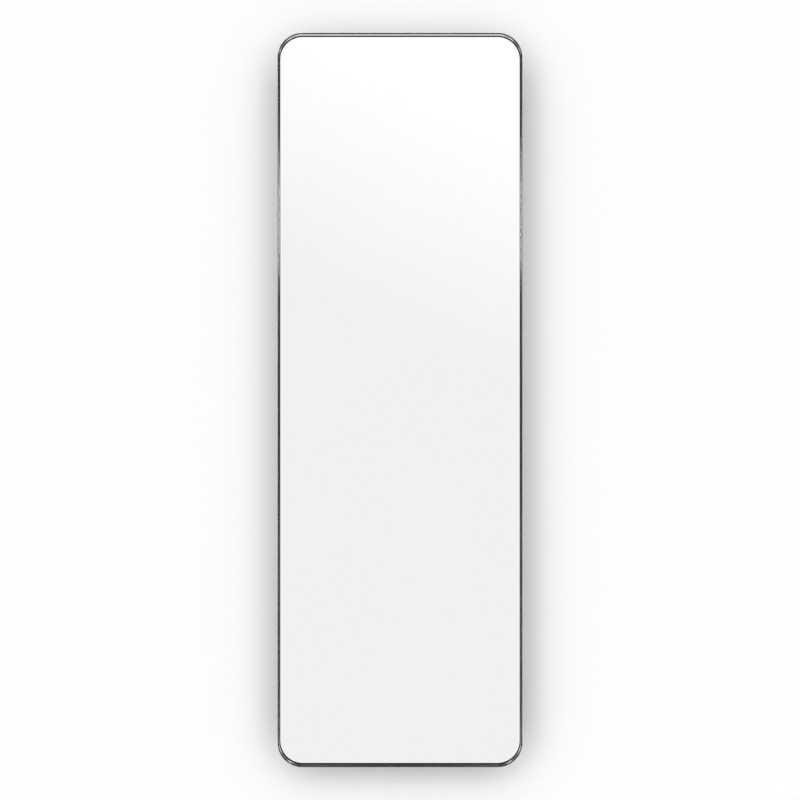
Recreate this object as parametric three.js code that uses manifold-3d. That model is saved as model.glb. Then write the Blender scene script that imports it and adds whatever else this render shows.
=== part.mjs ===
// Pull-out closet mirror: a thin framed mirror that slides out of a closet on two telescopic slides
// and swivels on a vertical shaft to face the person in front of it.
// Millimetres, +Z up. The closet's side panel is the plane y = 0. The mirror faces -Y and pulls out
// along +X.
import * as THREE from "three";
import { mergeVertices } from "three/addons/utils/BufferGeometryUtils.js";
import Module from "manifold-3d";

const wasm = await Module();
wasm.setup();

// Clearances shared by every piece
const fitGap = 0.3; // between pieces that rest on each other or run past each other
const glazingGap = 0.2; // between the layers of the glazing
const cutOverrun = 1; // how far a cutter reaches past the faces that it cuts

// Mirror frame, a bent extrusion: a wall with an inward ledge that carries the glazing
const mirrorWidth = 350;
const mirrorHeight = 1050;
const frameCornerRadius = 35;
const frameDepth = 26.2;
const frameWall = 1.8;
const frameLedgeWidth = 10.2;
const frameLedgeThickness = 1.5;
const frameRearLip = 1.6;
const frameRearLipThickness = 1.2;
const frameSeam = 0.3;

// Glazing, from the front to the back
const glassRecess = 9.7;
const glassThickness = 4;
const filmThickness = 0.4;
const gasketWall = 0.3;
const gasketFootWidth = 8;
const gasketFootThickness = 1;
const boardThickness = 3;

// Cross rails: joggled steel straps behind the board
const railThickness = 1.5;
const railHeight = 50;
const railFootLength = 17;
const railSlopeLength = 8;
const railSpacing = 335;
const railWindowHeight = 20;
const railWindowRadius = 8;
const railWindowBar = 16;
const railWindowCatchMargin = 9;
const railWindowSpineMargin = 16;

// Frame joiner: the bar behind the seam
const joinerLength = 80;
const joinerThickness = 3;
const joinerClearance = 0.2;

// Hinge spine: a channel that stands on the cross rails
const spineWidth = 56;
const spineLength = 720;
const spineThickness = 2;
const spineLip = 6;
const spineBend = 2;
const spineHoleRadius = 9;
const spineHoleFirst = 215;
const spineHolePitch = 55;
const spineHolesPerEnd = 2;
const spineAxisOffset = 42;
const spineNotchMargin = 2;

// Swivel: shaft, bushes and tube
const pivotInset = 15;
const pivotStandoff = 4.2;
const shaftRadius = 4;
const shaftRunningGap = 0.2;
const tubeRadius = 8;
const tubeWall = 1.5;
const tubeLength = 240;
const swivelClearance = 2;
const bushFlangeThickness = 1.5;
const bushLength = 18;
const washerThickness = 1.2;
const shaftHeadRadius = 6.5;
const shaftHeadHeight = 5;
const shaftSocketRadius = 2.9;
const shaftSocketDepth = 3;
const shaftTail = 2;
const shaftChamfer = 0.8;
const springThickness = 0.9;
const springRise = 0.8;
const springRadius = 8;
const nutRadius = 7.5;
const nutHeight = 6.5;

// Swivel stop: a ring on the tube with a notch for the bracket's lug
const stopRingWidth = 3;
const stopRingHeight = 10;
const stopRingDrop = 4;
const stopLugDegrees = 20;
const stopPlayDegrees = 1;
const swivelDegrees = 90;
const stopNotchStartDegrees = -100;
const stopLugBite = 6;
const stopLugInset = 0.3;

// Pivot brackets: a base on the spine and an ear with the shaft's eye
const bracketThickness = 3;
const bracketWidth = 36;
const bracketHeight = 44;
const bracketScrewShare = 0.6;
const earEyeRadius = 10.5;
const earEyeEndDegrees = 110;
const earShoulder = 9;
const earShoulderShare = 0.45;

// Carriage plate: joins the two inner members and carries the tube
const carriageThickness = 2;
const carriageMargin = 14;
const carriageTail = 32;
const carriageLip = 7;
const carriageBend = 2;
const carriageLipSetback = 14;
const carriageWindowRadius = 10;
const carriageWindowBar = 20;
const carriageWindowMarginX = 31;
const carriageWindowMarginZ = 11;

// Magnetic catch on the carriage plate's trailing end
const catchWidth = 22;
const catchHeight = 40;
const catchCorner = 4;
const catchInset = 16;
const catchPegRadius = 3;
const catchReach = 0.5;
const magnetWidth = 12;
const magnetHeight = 28;
const magnetDepth = 5;
const magnetProud = 0.6;

// Telescopic slides
const slideLength = 300;
const slideTravel = slideLength; // full extension
const slideHeight = 45.7;
const slideDepth = 12.7;
const slideSheet = 1.2;
const slideSpacing = 160;
const slideEndClearance = 2;
const memberBend = 1;
const outerMemberBend = 1.6;
const outerLipDegrees = 35;
const middleLipDegrees = 45;
const innerLipDegrees = 135;
const ballRadius = 2;
const ballsPerRow = 6;
const cageLengthShare = 0.4;
const cageSheet = 0.7;
const cageBend = 1.2;
const cageEnd = 6;
const bumperLength = 6;
const bumperPegRadius = 1.5;
const bumperWingHeight = 30;
const bumperNoseHeight = 18;
const bumperWingDepth = 6.5;
const stopTabLength = 2;
const stopTabHeight = 8;
const memberAccessRadius = 4.5;

// Base plate
const baseThickness = 2;
const baseMarginX = 18;
const baseMarginZ = 10;
const baseLip = 8;
const baseBend = 2;
const baseWindowBar = 44;
const baseWindowMarginX = 36;
const baseWindowMarginZ = 18;
const baseWindowRadius = 10;
const panelHoleRadius = 2.75;
const panelSinkRadius = 4.75;
const panelGrid = 32; // pitch of the holes in closet panels
const panelGridStepsX = 8;
const panelGridStepsZ = 7;

// Screws: shank radius, head radius, head height, and how far a shank reaches past what it holds
const slideScrewRadius = 2;
const slideScrewSinkRadius = 3.2;
const slideScrewInset = 40;
const carriageScrewInset = 70;
const screwRadius = 2.5;
const screwHeadRadius = 4.7;
const screwHeadHeight = 2.6;
const screwTail = 1.2;
const railScrewRadius = 1.7;
const railScrewHeadRadius = 3.2;
const railScrewHeadHeight = 1.9;
const railScrewInset = 7;
const bracketScrewSpacing = 18;

// Facets
const cornerSteps = 8;
const roundSteps = 20;
const holeSteps = 10;
const screwSteps = 8;
const bendSteps = 3;
const raceSteps = 4;
const ballSteps = 6;
const ballRings = 4;
const hexagonSides = 6;
const weldDistance = 1e-4; // points nearer than this are one corner
const mitreShare = 0.5; // how sharp a bent sheet's corner may grow

// Places that follow from the sizes above, from the side panel outwards
const slideBackY = -(baseThickness + fitGap);
const carriageBackY = slideBackY - slideDepth - fitGap;
const carriageFrontY = carriageBackY - carriageThickness;
const pivotY = carriageFrontY - pivotStandoff;
const mirrorBackY = pivotY - tubeRadius - swivelClearance;
const frameFrontY = mirrorBackY - frameDepth;
const pivotX = mirrorWidth / 2 - pivotInset;
const slideFrontX = pivotX - tubeRadius - slideEndClearance;
const slideCentreX = slideFrontX - slideLength / 2;
const slideZ = slideSpacing / 2;
const carriageStartX = slideFrontX - slideLength + carriageTail;
const catchX = carriageStartX + catchInset;
const spineX = pivotX - spineAxisOffset;
const panelHoleSpacingX = panelGrid * panelGridStepsX;
const panelHoleSpacingZ = panelGrid * panelGridStepsZ;
const baseLength = panelHoleSpacingX + 2 * baseMarginX;
const baseHeight = panelHoleSpacingZ + 2 * baseMarginZ;
const tubeTopZ = tubeLength / 2;
const earBottomZ = tubeTopZ + fitGap + bushFlangeThickness + fitGap + washerThickness + fitGap;
const earTopZ = earBottomZ + bracketThickness;

// Depths of the glazing layers behind the frame's front face
const glassBackDepth = glassRecess + glassThickness;
const filmFrontDepth = glassBackDepth + glazingGap;
const filmBackDepth = filmFrontDepth + filmThickness;
const footFrontDepth = filmBackDepth + glazingGap;
const footBackDepth = footFrontDepth + gasketFootThickness;
const ledgeFrontDepth = footBackDepth + glazingGap;
const ledgeBackDepth = ledgeFrontDepth + frameLedgeThickness;
const boardFrontDepth = ledgeBackDepth + glazingGap;
const boardBackDepth = boardFrontDepth + boardThickness;
const railFootDepth = boardBackDepth + glazingGap;
const railBackDepth = frameDepth - fitGap;
const gasketEdge = frameWall + glazingGap;
const glassEdge = gasketEdge + gasketWall + glazingGap;

const degree = Math.PI / 180;

// Points of an arc in degrees, both ends included
function arcPoints(centreX, centreY, radius, from, to, steps) {
  const points = [];
  for (let i = 0; i <= steps; i += 1) {
    const angle = (from + ((to - from) * i) / steps) * degree;
    points.push(new THREE.Vector2(centreX + radius * Math.cos(angle), centreY + radius * Math.sin(angle)));
  }
  return points;
}

// A rectangle with round corners, centred on a point
function roundedRectangle(centreX, centreY, width, height, radius, steps = cornerSteps) {
  const right = centreX + width / 2 - radius;
  const left = centreX - width / 2 + radius;
  const top = centreY + height / 2 - radius;
  const bottom = centreY - height / 2 + radius;
  return [
    ...arcPoints(right, top, radius, 0, 90, steps),
    ...arcPoints(left, top, radius, 90, 180, steps),
    ...arcPoints(left, bottom, radius, 180, 270, steps),
    ...arcPoints(right, bottom, radius, 270, 360, steps),
  ];
}

// The outline of a bent sheet whose middle line is an open row of points
function sheetOutline(line, thickness) {
  const left = [];
  const right = [];
  line.forEach((point, i) => {
    const before = line[Math.max(i - 1, 0)];
    const after = line[Math.min(i + 1, line.length - 1)];
    const along = (i > 0 ? point.clone().sub(before) : after.clone().sub(point)).normalize();
    const onward = (i < line.length - 1 ? after.clone().sub(point) : along.clone()).normalize();
    const mean = along.clone().add(onward).normalize();
    const reach = thickness / 2 / Math.max(mean.dot(along), mitreShare);
    left.push(new THREE.Vector2(point.x - mean.y * reach, point.y + mean.x * reach));
    right.unshift(new THREE.Vector2(point.x + mean.y * reach, point.y - mean.x * reach));
  });
  return [...left, ...right];
}

// A line in (depth, height) for half a section, completed by its mirror image below
function symmetricLine(half) {
  const below = half.map((point) => new THREE.Vector2(point.x, -point.y)).reverse();
  return [...below, ...half];
}

// A closed geometry as a solid that faces outwards
function solidOf(geometry) {
  const bare = geometry.index ? geometry.toNonIndexed() : geometry.clone();
  bare.deleteAttribute("normal");
  bare.deleteAttribute("uv");
  const merged = mergeVertices(bare, weldDistance);
  const vertProperties = merged.attributes.position.array;
  const triVerts = new Uint32Array(merged.index.array);
  const solid = new wasm.Manifold(new wasm.Mesh({ numProp: 3, vertProperties, triVerts }));
  if (solid.volume() > 0) return solid;
  for (let i = 0; i < triVerts.length; i += 3) {
    [triVerts[i + 1], triVerts[i + 2]] = [triVerts[i + 2], triVerts[i + 1]];
  }
  return new wasm.Manifold(new wasm.Mesh({ numProp: 3, vertProperties, triVerts }));
}

function geometryOf(solid) {
  const mesh = solid.getMesh();
  const geometry = new THREE.BufferGeometry();
  geometry.setAttribute("position", new THREE.BufferAttribute(mesh.vertProperties, mesh.numProp));
  geometry.setIndex(new THREE.BufferAttribute(mesh.triVerts, 1));
  const faceted = geometry.toNonIndexed();
  faceted.computeVertexNormals();
  return faceted;
}

// A prism of an outline, with the outline's axes and the extrusion's start and end given in the part's frame
function prism(outline, acrossAxis, upAxis, alongAxis, start, end, holes = []) {
  const shape = new THREE.Shape(outline);
  shape.holes = holes.map((hole) => new THREE.Path(hole));
  const depth = end - start;
  const geometry = new THREE.ExtrudeGeometry(shape, { depth, bevelEnabled: false });
  geometry.applyMatrix4(new THREE.Matrix4().makeBasis(acrossAxis, upAxis, alongAxis));
  geometry.translate(...alongAxis.clone().multiplyScalar(start).toArray());
  return solidOf(geometry);
}

const axisX = new THREE.Vector3(1, 0, 0);
const axisY = new THREE.Vector3(0, 1, 0);
const axisZ = new THREE.Vector3(0, 0, 1);

// Along X from an outline in (depth behind y = 0 towards -Y, height)
function prismX(outline, startX, endX, backY = 0) {
  const placed = outline.map((point) => new THREE.Vector2(backY - point.x, point.y));
  return prism(placed, axisY, axisZ, axisX, startX, endX);
}

// Along Y from an outline in (x, z)
function prismY(outline, frontY, rearY, holes = []) {
  return prism(outline, axisX, axisZ, axisY, frontY, rearY, holes);
}

// Along Z from an outline in (x, y)
function prismZ(outline, startZ, endZ, holes = []) {
  return prism(outline, axisX, axisY, axisZ, startZ, endZ, holes);
}

function box(fromX, toX, fromY, toY, fromZ, toZ) {
  const geometry = new THREE.BoxGeometry(toX - fromX, toY - fromY, toZ - fromZ);
  geometry.translate((fromX + toX) / 2, (fromY + toY) / 2, (fromZ + toZ) / 2);
  return solidOf(geometry);
}

// A cylinder along Y, which narrows where the two radii differ
function cylinderY(x, z, frontY, rearY, frontRadius, rearRadius = frontRadius, steps = holeSteps) {
  const geometry = new THREE.CylinderGeometry(rearRadius, frontRadius, rearY - frontY, steps);
  geometry.translate(x, (frontY + rearY) / 2, z);
  return solidOf(geometry);
}

// A turned piece on the swivel's axis, from a closed profile in (radius, z)
function turnedOnPivot(profile, steps = roundSteps) {
  const points = profile.map(([radius, z]) => new THREE.Vector2(radius, z));
  const geometry = new THREE.LatheGeometry(points, steps);
  geometry.rotateX(Math.PI / 2);
  geometry.translate(pivotX, pivotY, 0);
  return solidOf(geometry);
}

// A ring on the swivel's axis
function ringOnPivot(outerRadius, innerRadius, fromZ, toZ, steps = roundSteps) {
  const outline = arcPoints(pivotX, pivotY, outerRadius, 0, 360, steps).slice(1);
  const hole = arcPoints(pivotX, pivotY, innerRadius, 0, 360, steps).slice(1);
  return prismZ(outline, fromZ, toZ, [hole]);
}

function cut(solid, cutters) {
  return cutters.reduce((rest, cutter) => rest.subtract(cutter), solid);
}

function join(solids) {
  return solids.reduce((whole, solid) => whole.add(solid));
}

// The same solid turned over top to bottom
function upsideDown(solid) {
  const geometry = geometryOf(solid);
  geometry.scale(1, -1, 1);
  geometry.scale(1, -1, -1);
  return solidOf(geometry);
}

// Finishes of the real pieces
const finishes = {
  darkAnodised: { color: 0x3b3c3f, roughness: 0.38, metalness: 1 },
  silvered: { color: 0xf1f4f4, roughness: 0.02, metalness: 1 },
  blackRubber: { color: 0x17181a, roughness: 0.8, metalness: 0 },
  greyFilm: { color: 0x8d9298, roughness: 0.6, metalness: 0 },
  darkBoard: { color: 0x2e2b29, roughness: 0.75, metalness: 0 },
  zincPlated: { color: 0xb9bec4, roughness: 0.35, metalness: 1 },
  powderCoated: { color: 0x2f3134, roughness: 0.55, metalness: 0.2 },
  brightSteel: { color: 0xc8cbcf, roughness: 0.25, metalness: 1 },
  blackPlastic: { color: 0x1d1e20, roughness: 0.5, metalness: 0 },
  naturalPlastic: { color: 0xe6e2d6, roughness: 0.45, metalness: 0 },
};

const group = new THREE.Group();

function addPiece(name, solid, finish) {
  const mesh = new THREE.Mesh(geometryOf(solid), new THREE.MeshStandardMaterial(finishes[finish]));
  mesh.name = name;
  group.add(mesh);
}

// Screws along Y. The head lies on seatY, towards the side that headSide says: -1 for -Y, 1 for +Y.
function panHeadScrew(x, z, seatY, headSide, length, radius, headRadius, headHeight) {
  const crownShares = [
    [1, 0],
    [0.92, 0.7],
    [0.55, 1],
  ];
  const under = seatY + headSide * fitGap;
  const tip = seatY - headSide * length;
  const profile = [
    [0, tip],
    [radius, tip],
    [radius, under],
    ...crownShares.map(([radial, rise]) => [headRadius * radial, under + headSide * headHeight * rise]),
    [0, under + headSide * headHeight],
  ];
  const points = profile.map(([across, y]) => new THREE.Vector2(across, y));
  const geometry = new THREE.LatheGeometry(points, screwSteps);
  geometry.translate(x, 0, z);
  return solidOf(geometry);
}

// The frame ring between two distances from the outer edge and two depths behind the front face
function frameRing(outerInset, innerInset, frontDepth, backDepth) {
  const ring = (inset) =>
    roundedRectangle(0, 0, mirrorWidth - 2 * inset, mirrorHeight - 2 * inset, frameCornerRadius - inset);
  return prismY(ring(outerInset), frameFrontY + frontDepth, frameFrontY + backDepth, [ring(innerInset)]);
}

// A plate that fills the frame from a distance inside its outer edge
function framePlate(inset, frontDepth, backDepth) {
  const outline = roundedRectangle(
    0,
    0,
    mirrorWidth - 2 * inset,
    mirrorHeight - 2 * inset,
    frameCornerRadius - inset,
  );
  return prismY(outline, frameFrontY + frontDepth, frameFrontY + backDepth);
}

const railHeights = [
  ["upper", railSpacing],
  ["middle", 0],
  ["lower", -railSpacing],
];
const railSides = [
  ["trailing", -1],
  ["leading", 1],
];
const railScrewX = mirrorWidth / 2 - railScrewInset;

// Cutters for the rail end screws, through everything between two depths
function railScrewHoles(frontDepth, backDepth) {
  const radius = railScrewRadius + fitGap;
  const front = frameFrontY + frontDepth - cutOverrun;
  const rear = frameFrontY + backDepth + cutOverrun;
  return railHeights.flatMap(([, z]) =>
    railSides.map(([, side]) => cylinderY(side * railScrewX, z, front, rear, radius)),
  );
}

function mirrorFrame() {
  const wall = frameRing(0, frameWall, 0, frameDepth);
  const ledge = frameRing(frameWall / 2, frameWall + frameLedgeWidth, ledgeFrontDepth, ledgeBackDepth);
  const lipFront = frameDepth - frameRearLipThickness;
  const rearLip = frameRing(frameWall / 2, frameWall + frameRearLip, lipFront, frameDepth);
  const seam = box(
    -frameSeam / 2,
    frameSeam / 2,
    frameFrontY - cutOverrun,
    mirrorBackY + cutOverrun,
    -mirrorHeight / 2 - cutOverrun,
    -mirrorHeight / 2 + frameWall + frameLedgeWidth + cutOverrun,
  );
  return cut(join([wall, ledge, rearLip]), [seam, ...railScrewHoles(ledgeFrontDepth, ledgeBackDepth)]);
}

function glazingGasket() {
  const wall = frameRing(gasketEdge, gasketEdge + gasketWall, glassRecess, footBackDepth);
  const foot = frameRing(
    gasketEdge + gasketWall / 2,
    gasketEdge + gasketFootWidth,
    footFrontDepth,
    footBackDepth,
  );
  return join([wall, foot]);
}

function backingBoard() {
  const board = framePlate(gasketEdge, boardFrontDepth, boardBackDepth);
  return cut(board, railScrewHoles(boardFrontDepth, boardBackDepth));
}

// Two windows side by side with a bar between them, as cutters along Y
function windowPair(fromX, toX, middleZ, height, bar, radius, frontY, rearY) {
  const width = (toX - fromX - bar) / 2;
  return [fromX + width / 2, toX - width / 2].map((x) =>
    prismY(roundedRectangle(x, middleZ, width, height, radius, bendSteps), frontY, rearY),
  );
}

// A cross rail: feet on the board at both ends, the middle raised to the frame's back
function crossRail(z) {
  const end = mirrorWidth / 2 - frameWall - frameRearLip - fitGap;
  const footY = frameFrontY + railFootDepth + railThickness / 2;
  const backY = frameFrontY + railBackDepth - railThickness / 2;
  const slopeStart = end - railFootLength;
  const slopeEnd = slopeStart - railSlopeLength;
  const half = [
    new THREE.Vector2(slopeEnd, backY),
    new THREE.Vector2(slopeStart, footY),
    new THREE.Vector2(end, footY),
  ];
  const line = [...half.map((point) => new THREE.Vector2(-point.x, point.y)).reverse(), ...half];
  const strap = prismZ(sheetOutline(line, railThickness), z - railHeight / 2, z + railHeight / 2);
  const front = frameFrontY + railFootDepth - cutOverrun;
  const rear = mirrorBackY + cutOverrun;
  const screwHoles = railSides.map(([, side]) =>
    cylinderY(side * railScrewX, z, front, rear, railScrewRadius + fitGap),
  );
  const windows = windowPair(
    catchX + catchWidth / 2 + railWindowCatchMargin,
    spineX - spineWidth / 2 - railWindowSpineMargin,
    z,
    railWindowHeight,
    railWindowBar,
    railWindowRadius,
    front,
    rear,
  );
  return cut(strap, [...screwHoles, ...windows, spineScrewHole(z)]);
}

// The hole for the screw that ties the spine to a rail
function spineScrewHole(z) {
  const front = frameFrontY + railFootDepth - cutOverrun;
  return cylinderY(spineX, z, front, carriageFrontY, screwRadius + fitGap);
}

function frameJoiner() {
  const innerZ = -mirrorHeight / 2 + frameWall + joinerClearance;
  const frontY = frameFrontY + railFootDepth;
  const rearY = mirrorBackY - frameRearLipThickness - fitGap;
  return box(-joinerLength / 2, joinerLength / 2, frontY, rearY, innerZ, innerZ + joinerThickness);
}

// Where the screws of the upper bracket stand; the lower bracket mirrors them
const bracketScrewZ = earBottomZ + bracketHeight * bracketScrewShare;
const bracketScrewXs = [-1, 1].map((side) => spineX + (side * bracketScrewSpacing) / 2);
const spineRearY = mirrorBackY + spineThickness;

function hingeSpine() {
  const web = mirrorBackY + spineThickness / 2;
  const edge = spineWidth / 2 - spineThickness / 2;
  const half = [
    ...arcPoints(edge - spineBend, spineBend, spineBend, -90, 0, bendSteps),
    new THREE.Vector2(edge, spineLip - spineThickness / 2),
  ];
  const line = [...half.map((point) => new THREE.Vector2(-point.x, point.y)).reverse(), ...half];
  const placed = line.map((point) => new THREE.Vector2(point.x + spineX, point.y + web));
  const channel = prismZ(sheetOutline(placed, spineThickness), -spineLength / 2, spineLength / 2);
  const front = mirrorBackY - cutOverrun;
  const rear = spineRearY + cutOverrun;
  const holes = [-1, 1].flatMap((end) => {
    const lightening = [];
    for (let i = 0; i < spineHolesPerEnd; i += 1) {
      const z = end * (spineHoleFirst + i * spineHolePitch);
      lightening.push(cylinderY(spineX, z, front, rear, spineHoleRadius, spineHoleRadius, roundSteps));
    }
    const fixing = bracketScrewXs.map((x) =>
      cylinderY(x, end * bracketScrewZ, front, rear, screwRadius + fitGap),
    );
    // The leading lip is notched where the bracket's ear crosses it
    const notchMiddle = (end * (earBottomZ + earTopZ)) / 2;
    const notchReach = bracketThickness / 2 + spineNotchMargin;
    const notch = box(
      spineX + spineWidth / 2 - spineThickness - spineBend,
      spineX + spineWidth / 2 + cutOverrun,
      spineRearY,
      spineRearY + spineLip + cutOverrun,
      notchMiddle - notchReach,
      notchMiddle + notchReach,
    );
    return [...lightening, ...fixing, notch];
  });
  return cut(channel, [...holes, ...railHeights.map(([, z]) => spineScrewHole(z))]);
}

// The upper bracket: a base on the spine's web, and an ear that reaches to the shaft's eye
function pivotBracket(withLug) {
  const baseFrontY = spineRearY + fitGap;
  const baseRearY = baseFrontY + bracketThickness;
  const left = spineX - bracketWidth / 2;
  const right = spineX + bracketWidth / 2;
  const base = box(left, right, baseFrontY, baseRearY, earBottomZ, earBottomZ + bracketHeight);
  const eyeStart = Math.asin((pivotY - baseFrontY) / earEyeRadius) / degree - 180;
  const ear = prismZ(
    [
      new THREE.Vector2(left, baseFrontY),
      ...arcPoints(pivotX, pivotY, earEyeRadius, eyeStart, earEyeEndDegrees, roundSteps / 2),
      new THREE.Vector2(left + bracketWidth * earShoulderShare, baseFrontY + earShoulder + bracketThickness),
      new THREE.Vector2(left, baseFrontY + earShoulder),
    ],
    earBottomZ,
    earTopZ,
  );
  const eye = ringOnPivot(earEyeRadius, shaftRadius + shaftRunningGap, earBottomZ, earTopZ);
  const bore = prismZ(
    arcPoints(pivotX, pivotY, shaftRadius + shaftRunningGap, 0, 360, roundSteps).slice(1),
    earBottomZ - cutOverrun,
    earTopZ + cutOverrun,
  );
  const screwHoles = bracketScrewXs.map((x) =>
    cylinderY(x, bracketScrewZ, baseFrontY - cutOverrun, baseRearY + cutOverrun, screwRadius + fitGap),
  );
  const pieces = withLug ? [base, ear, eye, stopLug()] : [base, ear, eye];
  return cut(join(pieces), [bore, ...screwHoles]);
}

// An outline of a ring sector about the swivel's axis
function sectorOutline(innerRadius, outerRadius, from, to, steps) {
  return [
    ...arcPoints(pivotX, pivotY, outerRadius, from, to, steps),
    ...arcPoints(pivotX, pivotY, innerRadius, to, from, steps),
  ];
}

const stopRingTopZ = tubeTopZ - stopRingDrop;

function stopLug() {
  const from = stopNotchStartDegrees + stopPlayDegrees;
  const inner = tubeRadius + fitGap + stopLugInset;
  const outer = inner + stopRingWidth - 2 * stopLugInset;
  const outline = sectorOutline(inner, outer, from, from + stopLugDegrees, bendSteps);
  return prismZ(outline, stopRingTopZ - stopLugBite, earBottomZ + bracketThickness / 2);
}

function swivelStopRing() {
  const notch = swivelDegrees + stopLugDegrees + 2 * stopPlayDegrees;
  const from = stopNotchStartDegrees + notch;
  const to = stopNotchStartDegrees + 360;
  const inner = tubeRadius + fitGap;
  const outline = sectorOutline(inner, inner + stopRingWidth, from, to, roundSteps);
  return prismZ(outline, stopRingTopZ - stopRingHeight, stopRingTopZ);
}

// A flanged bush in the upper end of the tube
function flangedBush() {
  const inner = shaftRadius + shaftRunningGap;
  const outer = tubeRadius - tubeWall - fitGap;
  const flangeBottom = tubeTopZ + fitGap;
  const flangeTop = flangeBottom + bushFlangeThickness;
  const flange = ringOnPivot(tubeRadius, inner, flangeBottom, flangeTop);
  const sleeve = ringOnPivot(outer, inner, tubeTopZ - bushLength, flangeTop);
  return flange.add(sleeve);
}

function frictionWasher() {
  const bottom = tubeTopZ + fitGap + bushFlangeThickness + fitGap;
  return ringOnPivot(tubeRadius, shaftRadius + shaftRunningGap, bottom, bottom + washerThickness);
}

const springTopZ = -earTopZ - fitGap;
const nutTopZ = springTopZ - springThickness - springRise - fitGap;
const nutBottomZ = nutTopZ - nutHeight;

function discSpring() {
  const inner = shaftRadius + shaftRunningGap;
  return turnedOnPivot([
    [inner, springTopZ - springRise],
    [inner, springTopZ - springRise - springThickness],
    [springRadius, springTopZ - springThickness],
    [springRadius, springTopZ],
    [inner, springTopZ - springRise],
  ]);
}

function lockNut() {
  const outline = arcPoints(pivotX, pivotY, nutRadius, 0, 360, hexagonSides).slice(1);
  const hole = arcPoints(pivotX, pivotY, shaftRadius + shaftRunningGap, 0, 360, roundSteps).slice(1);
  return prismZ(outline, nutBottomZ, nutTopZ, [hole]);
}

// The shaft hangs by its head on the upper ear and ends below the nut
function pivotShaft() {
  const headBottom = earTopZ + fitGap;
  const headTop = headBottom + shaftHeadHeight;
  const tail = nutBottomZ - shaftTail;
  const shaft = turnedOnPivot(
    [
      [0, tail],
      [shaftRadius - shaftChamfer, tail],
      [shaftRadius, tail + shaftChamfer],
      [shaftRadius, headBottom],
      [shaftHeadRadius, headBottom],
      [shaftHeadRadius, headTop - shaftChamfer],
      [shaftHeadRadius - shaftChamfer, headTop],
      [0, headTop],
    ],
  );
  const hexagon = arcPoints(pivotX, pivotY, shaftSocketRadius, 0, 360, hexagonSides).slice(1);
  return shaft.subtract(prismZ(hexagon, headTop - shaftSocketDepth, headTop + cutOverrun));
}

// A plate bent into a shallow channel along X, with its web's back at backY and its lips towards -Y
function channelAlongX(startX, endX, height, thickness, lip, bend, backY) {
  const web = thickness / 2;
  const edge = height / 2 - thickness / 2;
  const half = [
    ...arcPoints(web + bend, edge - bend, bend, 180, 90, bendSteps),
    new THREE.Vector2(lip, edge),
  ];
  return prismX(sheetOutline(symmetricLine(half), thickness), startX, endX, backY);
}

const slideScrewXs = [-1, 1].map((side) => slideCentreX + side * (slideLength / 2 - slideScrewInset));
const carriageScrewXs = [-1, 1].map(
  (side) => slideCentreX + side * (slideLength / 2 - carriageScrewInset),
);
const slideZs = [slideZ, -slideZ];
const carriageHeight = slideSpacing + 2 * carriageMargin;

function carriagePlate() {
  const standoff = pivotStandoff;
  const reach = tubeRadius + fitGap;
  const endX = pivotX - Math.sqrt(reach * reach - standoff * standoff);
  const plate = channelAlongX(
    carriageStartX,
    endX,
    carriageHeight,
    carriageThickness,
    carriageLip,
    carriageBend,
    carriageBackY,
  );
  const front = carriageFrontY - cutOverrun;
  const rear = carriageBackY + cutOverrun;
  const windows = windowPair(
    carriageStartX + carriageWindowMarginX,
    endX - carriageWindowMarginX,
    0,
    slideSpacing - slideHeight - 2 * carriageWindowMarginZ,
    carriageWindowBar,
    carriageWindowRadius,
    front,
    rear,
  );
  const screwHoles = carriageScrewXs.flatMap((x) =>
    slideZs.map((z) => cylinderY(x, z, front, rear, screwRadius + fitGap)),
  );
  const pegHole = cylinderY(catchX, 0, front, rear, catchPegRadius + fitGap);
  const lipCuts = [-1, 1].map((side) => {
    const edge = (side * carriageHeight) / 2;
    const low = Math.min(edge - side * (carriageBend + carriageThickness), edge + side * cutOverrun);
    const high = Math.max(edge - side * (carriageBend + carriageThickness), edge + side * cutOverrun);
    return box(
      endX - carriageLipSetback,
      endX + cutOverrun,
      carriageBackY - carriageLip - cutOverrun,
      carriageBackY + cutOverrun,
      low,
      high,
    );
  });
  return cut(plate, [...windows, ...screwHoles, pegHole, ...lipCuts]);
}

const catchFrontY = mirrorBackY - fitGap + catchReach;

function catchHousing() {
  const rear = carriageFrontY - fitGap;
  const outline = roundedRectangle(catchX, 0, catchWidth, catchHeight, catchCorner, bendSteps);
  const body = prismY(outline, catchFrontY + magnetProud, rear);
  const peg = cylinderY(catchX, 0, rear - fitGap, carriageBackY, catchPegRadius);
  const pocket = box(
    catchX - magnetWidth / 2 - fitGap,
    catchX + magnetWidth / 2 + fitGap,
    catchFrontY - cutOverrun,
    catchFrontY + magnetDepth + fitGap,
    -magnetHeight / 2 - fitGap,
    magnetHeight / 2 + fitGap,
  );
  return body.add(peg).subtract(pocket);
}

function catchMagnet() {
  return box(
    catchX - magnetWidth / 2,
    catchX + magnetWidth / 2,
    catchFrontY,
    catchFrontY + magnetDepth,
    -magnetHeight / 2,
    magnetHeight / 2,
  );
}

// Slide sections. A line runs through the middle of a member's sheet, in depth from the slide's back and
// height. The races follow circles about the balls' centres, and the bends between web and race follow
// from them.
const raceRadius = ballRadius + fitGap;
const raceMiddle = raceRadius + slideSheet / 2;
const outerWebDepth = slideSheet / 2;
const outerCageDepth = slideSheet + fitGap + cageSheet / 2;
const middleWebDepth = outerCageDepth + cageSheet / 2 + fitGap + slideSheet / 2;
const innerCageDepth = middleWebDepth + slideSheet / 2 + fitGap + cageSheet / 2;
const innerWebDepth = slideDepth - slideSheet / 2;
const shoulderDegrees = 60;
const riseDegrees = 180 - shoulderDegrees;
const shoulderCos = Math.cos(shoulderDegrees * degree);
const shoulderSin = Math.sin(shoulderDegrees * degree);
const outerBall = new THREE.Vector2(
  middleWebDepth + memberBend * (1 + shoulderCos) + raceMiddle * shoulderCos,
  slideHeight / 2 - slideSheet - raceRadius,
);
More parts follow.
